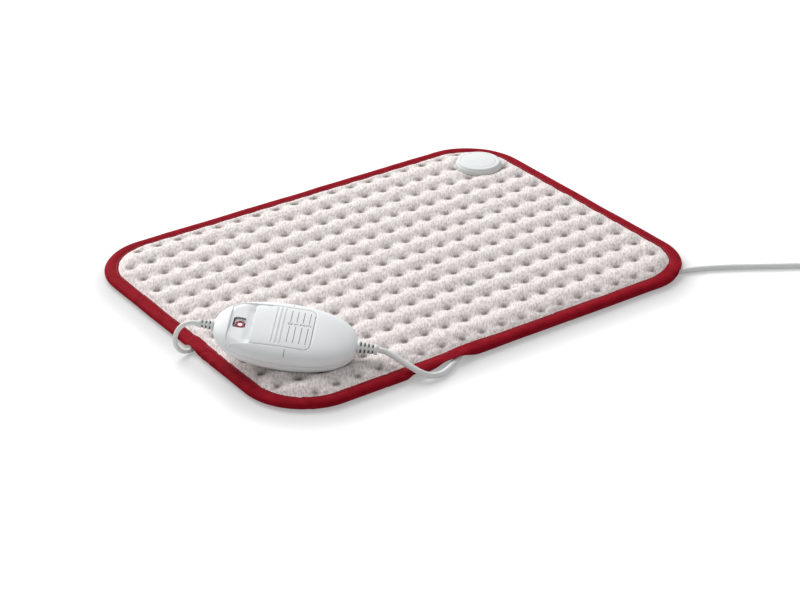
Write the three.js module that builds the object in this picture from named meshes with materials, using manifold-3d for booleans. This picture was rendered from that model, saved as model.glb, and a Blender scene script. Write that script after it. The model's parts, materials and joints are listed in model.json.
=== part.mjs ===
// A quilted heating pad with a hand-held slide controller, a corner coupling and its two leads.
// Millimetres, +Z up. The origin lies under the middle of the pad, on the surface that it rests on.
import * as THREE from 'three';
import { mergeVertices } from 'three/addons/utils/BufferGeometryUtils.js';
import Module from 'manifold-3d';

const wasm = await Module();
wasm.setup();

// Clearance between neighbouring pieces, and a reach that passes right through any piece
const fitGap = 0.3;
const farReach = 900;

// Pad outline
const padLength = 440;
const padWidth = 330;
const padCornerRadius = 58;
const cornerSteps = 5;

// Edge binding: a folded fabric tape whose slot holds the rims of both covers
const bindingWidth = 13;
const bindingHeight = 7.5;
const bindingLipHeight = 6.3;
const bindingWall = 1.3;
const bindingSlotTop = bindingLipHeight - bindingWall;
const bindingSlotInset = 4.2;
const bindingCrestInset = 5.5;

// Layers of the pad, from the floor up
const bottomCoverThickness = 5.0;
const coverRimThickness = 1.4;
const coverWall = 2.7;
const carrierThickness = 0.5;
const carrierMargin = 12;
const wireDiameter = 1.0;
const cutoutLength = 14;
const cutoutWidth = 5;
const cutoutCornerRadius = 1.5;
const leftCutoutX = -120;
const rightCutoutX = 90;

// Quilting of the top cover: tufts in a rectangular grid, with puffed ridges between the rows
const tuftPitchX = 20.5;
const tuftPitchY = 24;
const tuftEdgeMargin = 7;
const quiltEdgeFall = 12;
const edgeSkin = 0.3;
const tuftSkin = 1.0;
const saddleRise = 1.4;
const ridgeRise = 3.1;
const pillowRise = 3.7;

// Heights that follow from the layers
const carrierBottom = bottomCoverThickness + fitGap;
const carrierTop = carrierBottom + carrierThickness;
const wireBottom = carrierTop + fitGap;
const coverCeiling = wireBottom + wireDiameter + fitGap;
const quiltEdgeHeight = coverCeiling + edgeSkin;
const tuftHeight = coverCeiling + tuftSkin;
const saddleHeight = tuftHeight + saddleRise;
const ridgeHeight = tuftHeight + ridgeRise;
const pillowHeight = tuftHeight + pillowRise;

// Controller case: a rounded oval shell that lies tilted on the pad
const caseLength = 116;
const caseWidth = 65;
const caseTop = 12;
const caseBelly = 14;
const caseWall = 2;
const casePlanPower = 2.3;
const caseHeightPower = 3;
const caseSides = 32;
const caseRings = 5;
const caseFromLeft = 51.4;
const caseFromFront = 76.2;
const caseX = caseFromLeft - padLength / 2;
const caseY = caseFromFront - padWidth / 2;
const caseYaw = THREE.MathUtils.degToRad(-41);
const casePitch = THREE.MathUtils.degToRad(6.5);
const caseRoll = THREE.MathUtils.degToRad(14);
const casePressDepth = 3.1;
const casePressGap = 0.45;

// Heat slider and the recess that it runs in
const stagePitch = 5;
const stageCount = 3;
const sliderTravel = stageCount * stagePitch;
const slideGap = 0.4;
const recessFromLeft = 12.7;
const recessSpare = 3.6;
const recessDepth = 4;
const recessFloorHeight = caseTop - recessDepth;
const recessFloorDrop = 3.2;
const recessFloorThickness = 1.6;
const recessLeft = recessFromLeft - caseLength / 2;
const sliderFromRight = 36.5;
const sliderFromSide = 10.1;
const sliderLeft = recessLeft + recessSpare + sliderTravel;
const sliderRight = caseLength / 2 - sliderFromRight;
const sliderWidth = caseWidth - 2 * sliderFromSide;
const sliderCornerRadius = 5.4;
const stemLength = 8;
const stemWidth = 3;
const stemOffset = 8;
const gripRidgeCount = 3;
const gripRidgePitch = 3.4;
const gripRidgeWidth = 1.4;
const gripRidgeHeight = 0.5;
const gripRidgeStart = 15.4;
const gripRidgeMargin = 2;

// Indicator window beside the slider
const windowLength = 10.4;
const windowWidth = 12;
const windowFromWall = 7.8;
const windowCornerRadius = 2.5;
const lensFlange = 1.2;
const lensFlangeThickness = 0.9;
const lensSink = 0.5;
const indicatorPlateThickness = 0.8;
const lampRadius = 2;

// Circuit board inside the case
const boardEndGap = 1.9;
const boardSideRoom = 12.5;
const boardWidth = caseWidth - 2 * boardSideRoom;
const boardThickness = 1.6;
const boardRise = 9;
const boardHeight = boardRise - caseBelly;
const boardPostRadius = 2.5;
const boardPostFromEnd = 7.5;
const boardPostFromSide = 6;
const stripOverrun = 5.5;
const stripLength = sliderTravel + stemLength + 2 * stripOverrun;
const stripWidth = 8;
const stripThickness = 0.5;
const wiperThickness = 1.8;
const wiperWidth = 6;
const fuseRadius = 2.5;
const fuseLength = 20;
const fuseStart = 6;
const fuseFromSide = 3;
const capacitorSize = [14, 7, 6.5];
const capacitorPlace = [-16, 13];
const triacSize = [10, 4.5, 7];
const triacPlace = [24, 13];

// Case screws, driven from below
const screwFromEnd = 17;
const screwX = caseLength / 2 - screwFromEnd;
const screwY = 12;
const screwShankRadius = 1.4;
const screwHeadRadius = 2.6;
const screwHeadHeight = 1.8;
const screwSeatRise = 6.5;
const screwSeatHeight = screwSeatRise - caseBelly;
const screwTipCover = 1.1;
const postWall = 1.7;
const bossWall = 1.9;

// Strain reliefs at the two ends of the case
const reliefFlangeDepth = 9.5;
const reliefFlangeAt = caseLength / 2 - reliefFlangeDepth;
const reliefFlangeThickness = 2;
const reliefFlangeLip = 1.5;
const padReliefLength = 12.5;
const padReliefRoot = 4.3;
const padReliefTip = 3.2;
const padReliefNeck = 3.2;
const padReliefRibs = 4;
const mainsReliefLength = 16;
const mainsReliefRoot = 5.5;
const mainsReliefTip = 4.1;
const mainsReliefNeck = 4.2;
const mainsReliefRibs = 5;
const ribGrooveDepth = 0.9;
const ribShare = 0.62;

// Corner coupling: a domed cap clamped to a base through the pad, with a flat plug from below
const couplingFromRight = 44.7;
const couplingFromBack = 56.3;
const couplingX = padLength / 2 - couplingFromRight;
const couplingY = padWidth / 2 - couplingFromBack;
const seatSkin = 1.2;
const seatHeight = coverCeiling + seatSkin;
const capRadius = 22;
const capSkirtHeight = 4.6;
const capRise = 2.4;
const capWall = 1.6;
const capEdgeRound = 1.2;
const capDomeInset = 3.6;
const capDomeDrop = 0.9;
const capBottom = seatHeight + fitGap;
const capTop = capBottom + capSkirtHeight + capRise;
const capHeadroom = 1.8;
const baseFlangeRadius = 21;
const baseFlangeThickness = 1.8;
const baseTubeRadius = 15.5;
const baseTubeWall = 2.5;
const basePlateTop = capTop - capWall - capHeadroom;
const basePlateThickness = 1.6;
const socketRadius = baseTubeRadius - baseTubeWall;
const couplingScrewFromWall = 5;
const couplingScrewX = socketRadius - couplingScrewFromWall;
const contactRadius = 1.2;
const contactFromWall = 6;
const contactY = socketRadius - contactFromWall;
const contactBottom = 4.5;
const contactTab = 0.6;
const plugHeadroom = 1.6;
const plugNozzleRadius = 2.2;
const plugNozzleLength = 3.5;
const plugNozzleReach = baseTubeRadius + plugNozzleLength;

// Leads. Each route is chosen by hand, and a lead lies on the floor where nothing carries it.
const padLeadDiameter = 3.9;
const mainsLeadDiameter = 5;
const leadSides = 8;
const padLeadSteps = 43;
const mainsLeadSteps = 36;
const tailSteps = 7;
const padLaneX = -196;
const padLaneY = -18;
const mainsLaneInset = 22;
const grooveOverrun = 14;
const leadFloorGap = 0.2;
const grooveGap = 0.45;
const grooveRoof = 0.8;
const grooveCheek = 1.8;

// Coil of the mains lead, its tie and its plug
const coilX = 306;
const coilY = -259;
const coilInnerRadius = 21;
const coilTurns = 6;
const coilClimbTurns = 0.5;
const coilStartAngle = THREE.MathUtils.degToRad(59);
const coilPitch = 5.7;
const coilLayerGap = 0.5;
const coilSides = 6;
const coilStepsPerTurn = 24;
const tieThickness = 0.5;
const tieWidth = 8;
const tieAngle = THREE.MathUtils.degToRad(215);
const plugLength = 34;
const plugWidth = 34;
const plugHeight = 13;
const plugTailWidth = 13;
const plugTailLength = 12;
const plugFlareEnd = 21;
const plugShoulder = 2;
const plugFromCoilX = 50;
const plugFromCoilY = -16;
const plugHeading = -Math.PI / 2;
const pinRadius = 2;
const pinLength = 19;
const pinRound = 0.8;
const pinSpacing = 18.6;

// Looks
const fleece = { color: 0xe8dedc, roughness: 0.95, metalness: 0 };
const wadding = { color: 0xddd5d0, roughness: 0.95, metalness: 0 };
const crimson = { color: 0xa31c2d, roughness: 0.7, metalness: 0 };
const carrierCloth = { color: 0xf0f0ea, roughness: 0.9, metalness: 0 };
const wireSleeve = { color: 0xb9b2a6, roughness: 0.6, metalness: 0 };
const casePlastic = { color: 0xe9edee, roughness: 0.32, metalness: 0 };
const sliderPlastic = { color: 0xeef1f2, roughness: 0.35, metalness: 0 };
const leadPlastic = { color: 0xe9eae8, roughness: 0.45, metalness: 0 };
const clearPlastic = { color: 0xf4f7f8, roughness: 0.1, metalness: 0 };
const boardGreen = { color: 0x2f6b45, roughness: 0.6, metalness: 0 };
const darkPlastic = { color: 0x2b2b2d, roughness: 0.5, metalness: 0 };
const brass = { color: 0xc8a85a, roughness: 0.35, metalness: 1 };
const steel = { color: 0xb8bcc0, roughness: 0.35, metalness: 1 };
const lampRed = { color: 0xd43a2a, roughness: 0.2, metalness: 0 };

// Geometry helpers

function closedGeometry(vertices, triangles) {
  let volume = 0;
  const [a, b, c] = [new THREE.Vector3(), new THREE.Vector3(), new THREE.Vector3()];
  for (const [i, j, k] of triangles) {
    a.copy(vertices[i]);
    b.copy(vertices[j]);
    c.copy(vertices[k]);
    volume += a.dot(b.cross(c));
  }
  const outward = volume > 0 ? triangles : triangles.map(([i, j, k]) => [i, k, j]);
  const geometry = new THREE.BufferGeometry();
  const numbers = vertices.flatMap((v) => v.toArray());
  geometry.setAttribute('position', new THREE.Float32BufferAttribute(numbers, 3));
  geometry.setIndex(outward.flat());
  return geometry;
}

function solidOf(geometry) {
  const bare = geometry.clone();
  bare.deleteAttribute('normal');
  bare.deleteAttribute('uv');
  const merged = mergeVertices(bare, 1e-4);
  const mesh = new wasm.Mesh({
    numProp: 3,
    vertProperties: new Float32Array(merged.attributes.position.array),
    triVerts: new Uint32Array(merged.index.array),
  });
  return new wasm.Manifold(mesh);
}

function geometryOf(solid) {
  const mesh = solid.getMesh();
  const geometry = new THREE.BufferGeometry();
  geometry.setAttribute('position', new THREE.BufferAttribute(new Float32Array(mesh.vertProperties), 3));
  geometry.setIndex(new THREE.BufferAttribute(new Uint32Array(mesh.triVerts), 1));
  return geometry;
}

function piece(name, shape, look) {
  const geometry = shape.isBufferGeometry ? shape : geometryOf(shape);
  geometry.computeVertexNormals();
  const mesh = new THREE.Mesh(geometry, new THREE.MeshStandardMaterial(look));
  mesh.name = name;
  return mesh;
}

// A straight-sided solid over a plan outline
function prism(outline, low, high) {
  const options = { depth: high - low, bevelEnabled: false };
  return solidOf(new THREE.ExtrudeGeometry(new THREE.Shape(outline), options).translate(0, 0, low));
}

function roundedOutline(left, right, front, back, radius, steps = 6) {
  const points = [];
  const corners = [[right, back, 0], [left, back, 1], [left, front, 2], [right, front, 3]];
  for (const [x, y, quarter] of corners) {
    const centreX = x - Math.sign(x - (left + right) / 2) * radius;
    const centreY = y - Math.sign(y - (front + back) / 2) * radius;
    for (let i = 0; i <= steps; i += 1) {
      const angle = (quarter + i / steps) * Math.PI / 2;
      points.push(new THREE.Vector2(centreX + radius * Math.cos(angle), centreY + radius * Math.sin(angle)));
    }
  }
  return points;
}

function padOutline(inset) {
  const x = padLength / 2 - inset;
  const y = padWidth / 2 - inset;
  return roundedOutline(-x, x, -y, y, padCornerRadius - inset, cornerSteps);
}

function cylinder(x, y, radius, low, high, sides = 16) {
  const geometry = new THREE.CylinderGeometry(radius, radius, high - low, sides);
  return solidOf(geometry.rotateX(Math.PI / 2).translate(x, y, (low + high) / 2));
}

function box(left, right, front, back, low, high) {
  const geometry = new THREE.BoxGeometry(right - left, back - front, high - low);
  return solidOf(geometry.translate((left + right) / 2, (front + back) / 2, (low + high) / 2));
}

// A turned solid about +Z: the profile is a list of [radius, height] that starts and ends on the axis
function turned(profile, sides) {
  const points = profile.map(([r, z]) => new THREE.Vector2(r, z));
  return new THREE.LatheGeometry(points, sides).rotateX(Math.PI / 2);
}

function alongX(geometry) {
  return geometry.rotateY(Math.PI / 2);
}

// A strip of even width along a plan route
function ribbonOutline(route, halfWidth) {
  const left = [];
  const right = [];
  route.forEach((point, i) => {
    const before = route[Math.max(i - 1, 0)];
    const after = route[Math.min(i + 1, route.length - 1)];
    const incoming = new THREE.Vector2(point.x - before.x, point.y - before.y).normalize();
    const outgoing = new THREE.Vector2(after.x - point.x, after.y - point.y).normalize();
    const along = incoming.clone().add(outgoing).normalize();
    const spread = incoming.lengthSq() > 0 && outgoing.lengthSq() > 0 ? along.dot(outgoing) : 1;
    const side = new THREE.Vector2(-along.y, along.x).multiplyScalar(halfWidth / spread);
    left.push(new THREE.Vector2(point.x + side.x, point.y + side.y));
    right.push(new THREE.Vector2(point.x - side.x, point.y - side.y));
  });
  return right.concat(left.reverse());
}

// A closed tube whose rings stand on a list of points
function tubeThrough(points, radius, sides) {
  const vertices = [];
  const triangles = [];
  let side = null;
  points.forEach((point, i) => {
    const before = points[Math.max(i - 1, 0)];
    const after = points[Math.min(i + 1, points.length - 1)];
    const along = after.clone().sub(before).normalize();
    const start = side ?? new THREE.Vector3(-along.y, along.x, 0);
    side = start.clone().addScaledVector(along, -start.dot(along)).normalize();
    const other = along.clone().cross(side);
    for (let k = 0; k < sides; k += 1) {
      const angle = 2 * Math.PI * (k + 0.5) / sides;
      const spoke = side.clone().multiplyScalar(Math.cos(angle)).addScaledVector(other, Math.sin(angle));
      vertices.push(point.clone().addScaledVector(spoke, radius));
    }
  });
  for (let i = 0; i + 1 < points.length; i += 1) {
    for (let k = 0; k < sides; k += 1) {
      const next = (k + 1) % sides;
      const [a, b] = [i * sides + k, i * sides + next];
      triangles.push([a, b, b + sides], [a, b + sides, a + sides]);
    }
  }
  const last = (points.length - 1) * sides;
  for (let k = 1; k + 1 < sides; k += 1) {
    triangles.push([0, k + 1, k], [last, last + k, last + k + 1]);
  }
  return closedGeometry(vertices, triangles);
}

function roundSection(radius, sides) {
  const shape = new THREE.Shape();
  for (let k = 0; k < sides; k += 1) {
    const angle = 2 * Math.PI * k / sides;
    const [x, y] = [radius * Math.cos(angle), radius * Math.sin(angle)];
    if (k === 0) shape.moveTo(x, y);
    else shape.lineTo(x, y);
  }
  return shape;
}

function leadTube(curve, diameter, steps) {
  return new THREE.ExtrudeGeometry(roundSection(diameter / 2, leadSides), { steps, extrudePath: curve });
}

// Controller case shape: u along its length, v across, w up from the parting plane

function signedPower(value, power) {
  return Math.sign(value) * Math.abs(value) ** power;
}

function caseGeometry(inset) {
  const halfLength = caseLength / 2 - inset;
  const halfWidth = caseWidth / 2 - inset;
  const vertices = [];
  const triangles = [];
  const sides = caseSides;
  const ringCount = 2 * caseRings - 1;
  for (let ring = 0; ring < ringCount; ring += 1) {
    const above = ring < caseRings;
    const angle = Math.abs(1 - (ring + 1) / caseRings) * Math.PI / 2;
    const reach = Math.cos(angle) ** (2 / caseHeightPower);
    const rise = Math.sin(angle) ** (2 / caseHeightPower);
    const w = above ? (caseTop - inset) * rise : -(caseBelly - inset) * rise;
    for (let k = 0; k < sides; k += 1) {
      const turn = 2 * Math.PI * k / sides;
      const u = halfLength * reach * signedPower(Math.cos(turn), 2 / casePlanPower);
      const v = halfWidth * reach * signedPower(Math.sin(turn), 2 / casePlanPower);
      vertices.push(new THREE.Vector3(u, v, w));
    }
  }
  const topPole = vertices.push(new THREE.Vector3(0, 0, caseTop - inset)) - 1;
  const bellyPole = vertices.push(new THREE.Vector3(0, 0, inset - caseBelly)) - 1;
  const lastRing = (ringCount - 1) * sides;
  for (let k = 0; k < sides; k += 1) {
    const next = (k + 1) % sides;
    triangles.push([topPole, k, next], [bellyPole, lastRing + next, lastRing + k]);
    for (let ring = 0; ring + 1 < ringCount; ring += 1) {
      const [a, b] = [ring * sides + k, ring * sides + next];
      triangles.push([a, a + sides, b + sides], [a, b + sides, b]);
    }
  }
  return closedGeometry(vertices, triangles);
}

function caseSolid(inset) {
  return solidOf(caseGeometry(inset));
}

// How far inside (below 1) or outside (above 1) the case a point of its own frame lies
function caseMeasure(u, v, w) {
  const along = Math.abs(u) / (caseLength / 2);
  const across = Math.abs(v) / (caseWidth / 2);
  const plan = along ** casePlanPower + across ** casePlanPower;
  const height = Math.abs(w) / (w > 0 ? caseTop : caseBelly);
  return plan ** (caseHeightPower / casePlanPower) + height ** caseHeightPower;
}

const caseTurn = new THREE.Euler(caseRoll, casePitch, caseYaw, 'ZYX');

// Height of the case's frame, so that its belly is pressed a little way into the quilting
function caseHeight() {
  let lowest = 0;
  const point = new THREE.Vector3();
  const stepsRound = 120;
  const stepsDown = 60;
  for (let ring = 0; ring <= stepsDown; ring += 1) {
    const angle = ring / stepsDown * Math.PI / 2;
    const reach = Math.cos(angle) ** (2 / caseHeightPower);
    for (let k = 0; k < stepsRound; k += 1) {
      const turn = 2 * Math.PI * k / stepsRound;
      point.set(
        caseLength / 2 * reach * signedPower(Math.cos(turn), 2 / casePlanPower),
        caseWidth / 2 * reach * signedPower(Math.sin(turn), 2 / casePlanPower),
        -caseBelly * Math.sin(angle) ** (2 / caseHeightPower),
      );
      lowest = Math.min(lowest, point.applyEuler(caseTurn).z);
    }
  }
  return pillowHeight - casePressDepth - lowest;
}

const casePlace = new THREE.Matrix4().makeRotationFromEuler(caseTurn).setPosition(caseX, caseY, caseHeight());
const caseFromPad = casePlace.clone().invert();

// Lowest height of the case over a point of the pad, or no limit where the case isn't above it
function caseUnderside(x, y) {
  const point = new THREE.Vector3();
  const measure = (z) => {
    point.set(x, y, z).applyMatrix4(caseFromPad);
    return caseMeasure(point.x, point.y, point.z);
  };
  let low = 0;
  let high = 2 * casePlace.elements[14];
  const searchSteps = 50;
  for (let i = 0; i < searchSteps; i += 1) {
    const third = (high - low) / 3;
    if (measure(low + third) < measure(high - third)) high -= third;
    else low += third;
  }
  let inside = (low + high) / 2;
  if (measure(inside) > 1) return Infinity;
  let outside = 0;
  for (let i = 0; i < searchSteps; i += 1) {
    const middle = (inside + outside) / 2;
    if (measure(middle) < 1) inside = middle;
    else outside = middle;
  }
  return inside;
}

function caseToPad(u, v, w) {
  return new THREE.Vector3(u, v, w).applyMatrix4(casePlace);
}

// Ends of the strain reliefs along the case's length
const reliefStart = caseLength / 2 + fitGap;
const padReliefEnd = -(reliefStart + padReliefLength);
const mainsReliefEnd = reliefStart + mainsReliefLength;

// Lead routes
const padLeadHeight = padLeadDiameter / 2 + leadFloorGap;
const mainsLeadHeight = mainsLeadDiameter / 2 + leadFloorGap;

function route(points) {
  const stops = points.map(([x, y, z]) => new THREE.Vector3(x, y, z));
  return new THREE.CatmullRomCurve3(stops, false, 'centripetal');
}

const padLeadStart = caseToPad(padReliefEnd - fitGap, 0, 0);
const padLeadNext = caseToPad(padReliefEnd - fitGap - padLeadDiameter, 0, 0);
const couplingTurn = Math.atan2(padLaneY - couplingY, padLaneX - couplingX);
const padLeadEndReach = plugNozzleReach + fitGap;
const padLeadCurve = route([
  padLeadStart.toArray(),
  padLeadNext.toArray(),
  [-229.5, -36.4, 35.4],
  [-233.2, -32.6, 31],
  [-235.2, -29.8, 24.5],
  [-235.4, -27.8, 17.5],
  [-233.2, -26.6, 10.5],
  [-228.6, -26, 5],
  [-221.5, -24.9, 2.5],
  [-211, -22.4, padLeadHeight],
  [padLaneX, padLaneY, padLeadHeight],
  [-100, 14.8, padLeadHeight],
  [0, 48.9, padLeadHeight],
  [100, 83, padLeadHeight],
  [
    couplingX + (padLeadEndReach + 2 * padLeadDiameter) * Math.cos(couplingTurn),
    couplingY + (padLeadEndReach + 2 * padLeadDiameter) * Math.sin(couplingTurn),
    padLeadHeight,
  ],
  [
    couplingX + padLeadEndReach * Math.cos(couplingTurn),
    couplingY + padLeadEndReach * Math.sin(couplingTurn),
    padLeadHeight,
  ],
]);

// Coil: it spirals in along the floor, climbs in half a turn and spirals out again on top
const coilLayerRise = mainsLeadDiameter + coilLayerGap;
const coilFloor = tieThickness + 2 * fitGap + mainsLeadDiameter / 2;
const coilOuterRadius = coilInnerRadius + coilTurns / 2 * coilPitch;

function coilPoint(turn) {
  const fromMiddle = turn - coilTurns / 2;
  const angle = coilStartAngle - 2 * Math.PI * turn;
  const climb = THREE.MathUtils.clamp(fromMiddle / coilClimbTurns + 0.5, 0, 1);
  const radius = coilInnerRadius + coilPitch * Math.abs(fromMiddle);
  const height = coilFloor + coilLayerRise * (1 - Math.cos(Math.PI * climb)) / 2;
  return new THREE.Vector3(coilX + radius * Math.cos(angle), coilY + radius * Math.sin(angle), height);
}

function coilPoints() {
  const steps = Math.round(coilTurns * coilStepsPerTurn);
  return Array.from({ length: steps + 1 }, (_, i) => coilPoint(coilTurns * i / steps));
}

function coilHeading(turn) {
  const step = 0.002;
  return coilPoint(Math.min(turn + step, coilTurns)).sub(coilPoint(Math.max(turn - step, 0))).normalize();
}

function besideCoil(turn, distance) {
  return coilPoint(turn).addScaledVector(coilHeading(turn), distance);
}

const straightEnd = 2 * mainsLeadDiameter;
const coilStart = besideCoil(0, -fitGap);
const coilBefore = besideCoil(0, -fitGap - straightEnd);
const coilEnd = besideCoil(coilTurns, fitGap);
const coilAfter = besideCoil(coilTurns, fitGap + straightEnd);

const mainsLeadStart = caseToPad(mainsReliefEnd + fitGap, 0, 0);
const mainsLeadNext = caseToPad(mainsReliefEnd + fitGap + mainsLeadDiameter, 0, 0);
const laneY = mainsLaneInset - padWidth / 2;
const mainsLeadCurve = route([
  mainsLeadStart.toArray(),
  mainsLeadNext.toArray(),
  [-104.6, -148.4, 16.6],
  [-101.4, -155, 13.8],
  [-97.8, -161.8, 11],
  [-93.2, -168.2, 7.6],
  [-86.6, -172.4, 4.4],
  [-78, -173.2, 2.9],
  [-69, -170.8, mainsLeadHeight],
  [-58, -165, mainsLeadHeight],
  [-44, -156.4, mainsLeadHeight],
  [-26, -148, mainsLeadHeight],
  [0, laneY, mainsLeadHeight],
  [60, laneY, mainsLeadHeight],
  [110, laneY, mainsLeadHeight],
  [148, -143.6, mainsLeadHeight],
  [175, -146.6, mainsLeadHeight],
  [200, -153.2, mainsLeadHeight],
  [222, -163, mainsLeadHeight],
  [246, -177, mainsLeadHeight],
  [270, -192.6, mainsLeadHeight],
  [294, -207.6, mainsLeadHeight],
  coilBefore.toArray(),
  coilStart.toArray(),
]);

// Plug beside the coil, at the end of a short tail
const plugX = coilX + plugFromCoilX;
const plugY = coilY + plugFromCoilY;
const tailCurve = route([
  coilEnd.toArray(),
  coilAfter.toArray(),
  [coilX + 38.8, coilY + 19.6, 7.6],
  [coilX + 46.2, coilY + 9, 6.2],
  [plugX, plugY + straightEnd, plugHeight / 2],
  [plugX, plugY + fitGap, plugHeight / 2],
]);

// Quilted top of the pad

const coverInset = bindingWidth + fitGap;
const fieldLength = padLength - 2 * coverInset;
const fieldWidth = padWidth - 2 * coverInset;

function tuftLine(fieldSize, pitch) {
  const count = Math.floor((fieldSize - 2 * tuftEdgeMargin) / pitch) + 1;
  return { count, first: -(count - 1) / 2 * pitch };
}

const tuftsX = tuftLine(fieldLength, tuftPitchX);
const tuftsY = tuftLine(fieldWidth, tuftPitchY);

function distanceToFieldEdge(x, y) {
  const radius = padCornerRadius - coverInset;
  const outX = Math.max(Math.abs(x) - (fieldLength / 2 - radius), 0);
  const outY = Math.max(Math.abs(y) - (fieldWidth / 2 - radius), 0);
  if (outX > 0 && outY > 0) return radius - Math.hypot(outX, outY);
  return Math.min(fieldLength / 2 - Math.abs(x), fieldWidth / 2 - Math.abs(y));
}

function quiltHeight(x, y) {
  const acrossX = Math.abs(Math.sin(Math.PI * (x - tuftsX.first) / tuftPitchX));
  const acrossY = Math.abs(Math.sin(Math.PI * (y - tuftsY.first) / tuftPitchY));
  const row = THREE.MathUtils.lerp(tuftHeight, saddleHeight, acrossX);
  const ridge = THREE.MathUtils.lerp(ridgeHeight, pillowHeight, acrossX);
  const puffed = THREE.MathUtils.lerp(row, ridge, acrossY);
  const edge = THREE.MathUtils.smoothstep(distanceToFieldEdge(x, y), 0, quiltEdgeFall);
  const free = THREE.MathUtils.lerp(quiltEdgeHeight, puffed, edge);
  return Math.min(free, caseUnderside(x, y) - casePressGap);
}

function quiltLines(halfSize, tufts, pitch) {
  const lines = [-halfSize];
  for (let i = 0; i <= 2 * (tufts.count - 1); i += 1) {
    lines.push(tufts.first + i * pitch / 2);
  }
  lines.push(halfSize);
  return lines;
}

// Triangles between two rows of vertex numbers, both from left to right
function stripBetween(front, back, vertices) {
  const strip = [];
  let [i, j] = [0, 0];
  while (i + 1 < front.length || j + 1 < back.length) {
    const frontNext = i + 1 < front.length ? vertices[front[i + 1]].x : Infinity;
    const backNext = j + 1 < back.length ? vertices[back[j + 1]].x : Infinity;
    if (frontNext <= backNext) {
      strip.push([front[i], front[i + 1], back[j]]);
      i += 1;
    } else {
      strip.push([front[i], back[j + 1], back[j]]);
      j += 1;
    }
  }
  return strip;
}

// The quilted block: a row with tufts has points at them and between them, and other rows have fewer
function quiltBlock(low) {
  const xs = quiltLines(fieldLength / 2, tuftsX, tuftPitchX);
  const ys = quiltLines(fieldWidth / 2, tuftsY, tuftPitchY);
  const fewXs = xs.filter((_, i) => i < 2 || i > xs.length - 3 || i % 2 === 0);
  const vertices = [];
  const rows = ys.map((y, j) => {
    const rowXs = j % 2 === 1 ? xs : fewXs;
    return rowXs.map((x) => vertices.push(new THREE.Vector3(x, y, quiltHeight(x, y))) - 1);
  });
  const triangles = [];
  for (let j = 0; j + 1 < rows.length; j += 1) {
    triangles.push(...stripBetween(rows[j], rows[j + 1], vertices));
  }
  const inner = rows.slice(1, -1);
  const rightEnds = inner.map((row) => row.at(-1));
  const leftEnds = inner.map((row) => row[0]).reverse();
  const rim = [...rows[0], ...rightEnds, ...[...rows.at(-1)].reverse(), ...leftEnds];
  const foot = rim.map((index) => {
    const { x, y } = vertices[index];
    return vertices.push(new THREE.Vector3(x, y, low)) - 1;
  });
  const middle = vertices.push(new THREE.Vector3(0, 0, low)) - 1;
  rim.forEach((index, i) => {
    const next = (i + 1) % rim.length;
    triangles.push([index, foot[i], foot[next]], [index, foot[next], rim[next]]);
    triangles.push([middle, foot[next], foot[i]]);
  });
  return solidOf(closedGeometry(vertices, triangles));
}

// Grooves that the leads lie in where they pass under the pad
function groovePlan(curve, steps) {
  const reach = padLength / 2 + grooveOverrun;
  return curve.getSpacedPoints(steps).filter((point) => point.z < bindingHeight && Math.abs(point.x) < reach);
}

function leadGroove(plan, diameter, height) {
  return prism(ribbonOutline(plan, diameter / 2 + grooveGap), -1, height + diameter / 2 + grooveGap);
}

const mainsGroovePlan = groovePlan(mainsLeadCurve, mainsLeadSteps);
const leadGrooves = [
  leadGroove(groovePlan(padLeadCurve, padLeadSteps), padLeadDiameter, padLeadHeight),
  leadGroove(mainsGroovePlan, mainsLeadDiameter, mainsLeadHeight),
];

function cutGrooves(solid) {
  return leadGrooves.reduce((rest, groove) => rest.subtract(groove), solid);
}

// Pad pieces

const rimInset = bindingSlotInset + fitGap;
const lowerRimBottom = bindingWall + fitGap;
const lowerRimTop = lowerRimBottom + coverRimThickness;
const upperRimBottom = lowerRimTop + fitGap;
const upperRimTop = bindingSlotTop - fitGap;
const coreInset = coverInset + coverWall + fitGap;
const baseHoleRadius = baseTubeRadius + fitGap;
const notchHalfWidth = plugNozzleRadius + fitGap;
const nozzleHeight = plugNozzleRadius + fitGap;

function throughHole(radius) {
  return cylinder(couplingX, couplingY, radius, -1, farReach, 18);
}

function topCover() {
  const field = quiltBlock(upperRimBottom).intersect(prism(padOutline(coverInset), 0, farReach));
  const rim = prism(padOutline(rimInset), upperRimBottom, upperRimTop);
  const hollow = prism(padOutline(coverInset + coverWall), -1, coverCeiling);
  const seat = cylinder(couplingX, couplingY, capRadius + fitGap, seatHeight, farReach, 20);
  const caseDent = solidOf(caseGeometry(-fitGap).applyMatrix4(casePlace));
  const cover = field.add(rim).subtract(hollow).subtract(seat).subtract(caseDent);
  return cutGrooves(cover.subtract(throughHole(baseHoleRadius)));
}

// Room for the plug's nozzle between the coupling and the start of the lead's groove
function nozzleNotch() {
  const reach = padLeadEndReach + grooveGap;
  const middle = new THREE.Vector2(couplingX, couplingY);
  const end = new THREE.Vector2(reach * Math.cos(couplingTurn), reach * Math.sin(couplingTurn)).add(middle);
  return prism(ribbonOutline([middle, end], notchHalfWidth), -1, nozzleHeight + notchHalfWidth);
}

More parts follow.
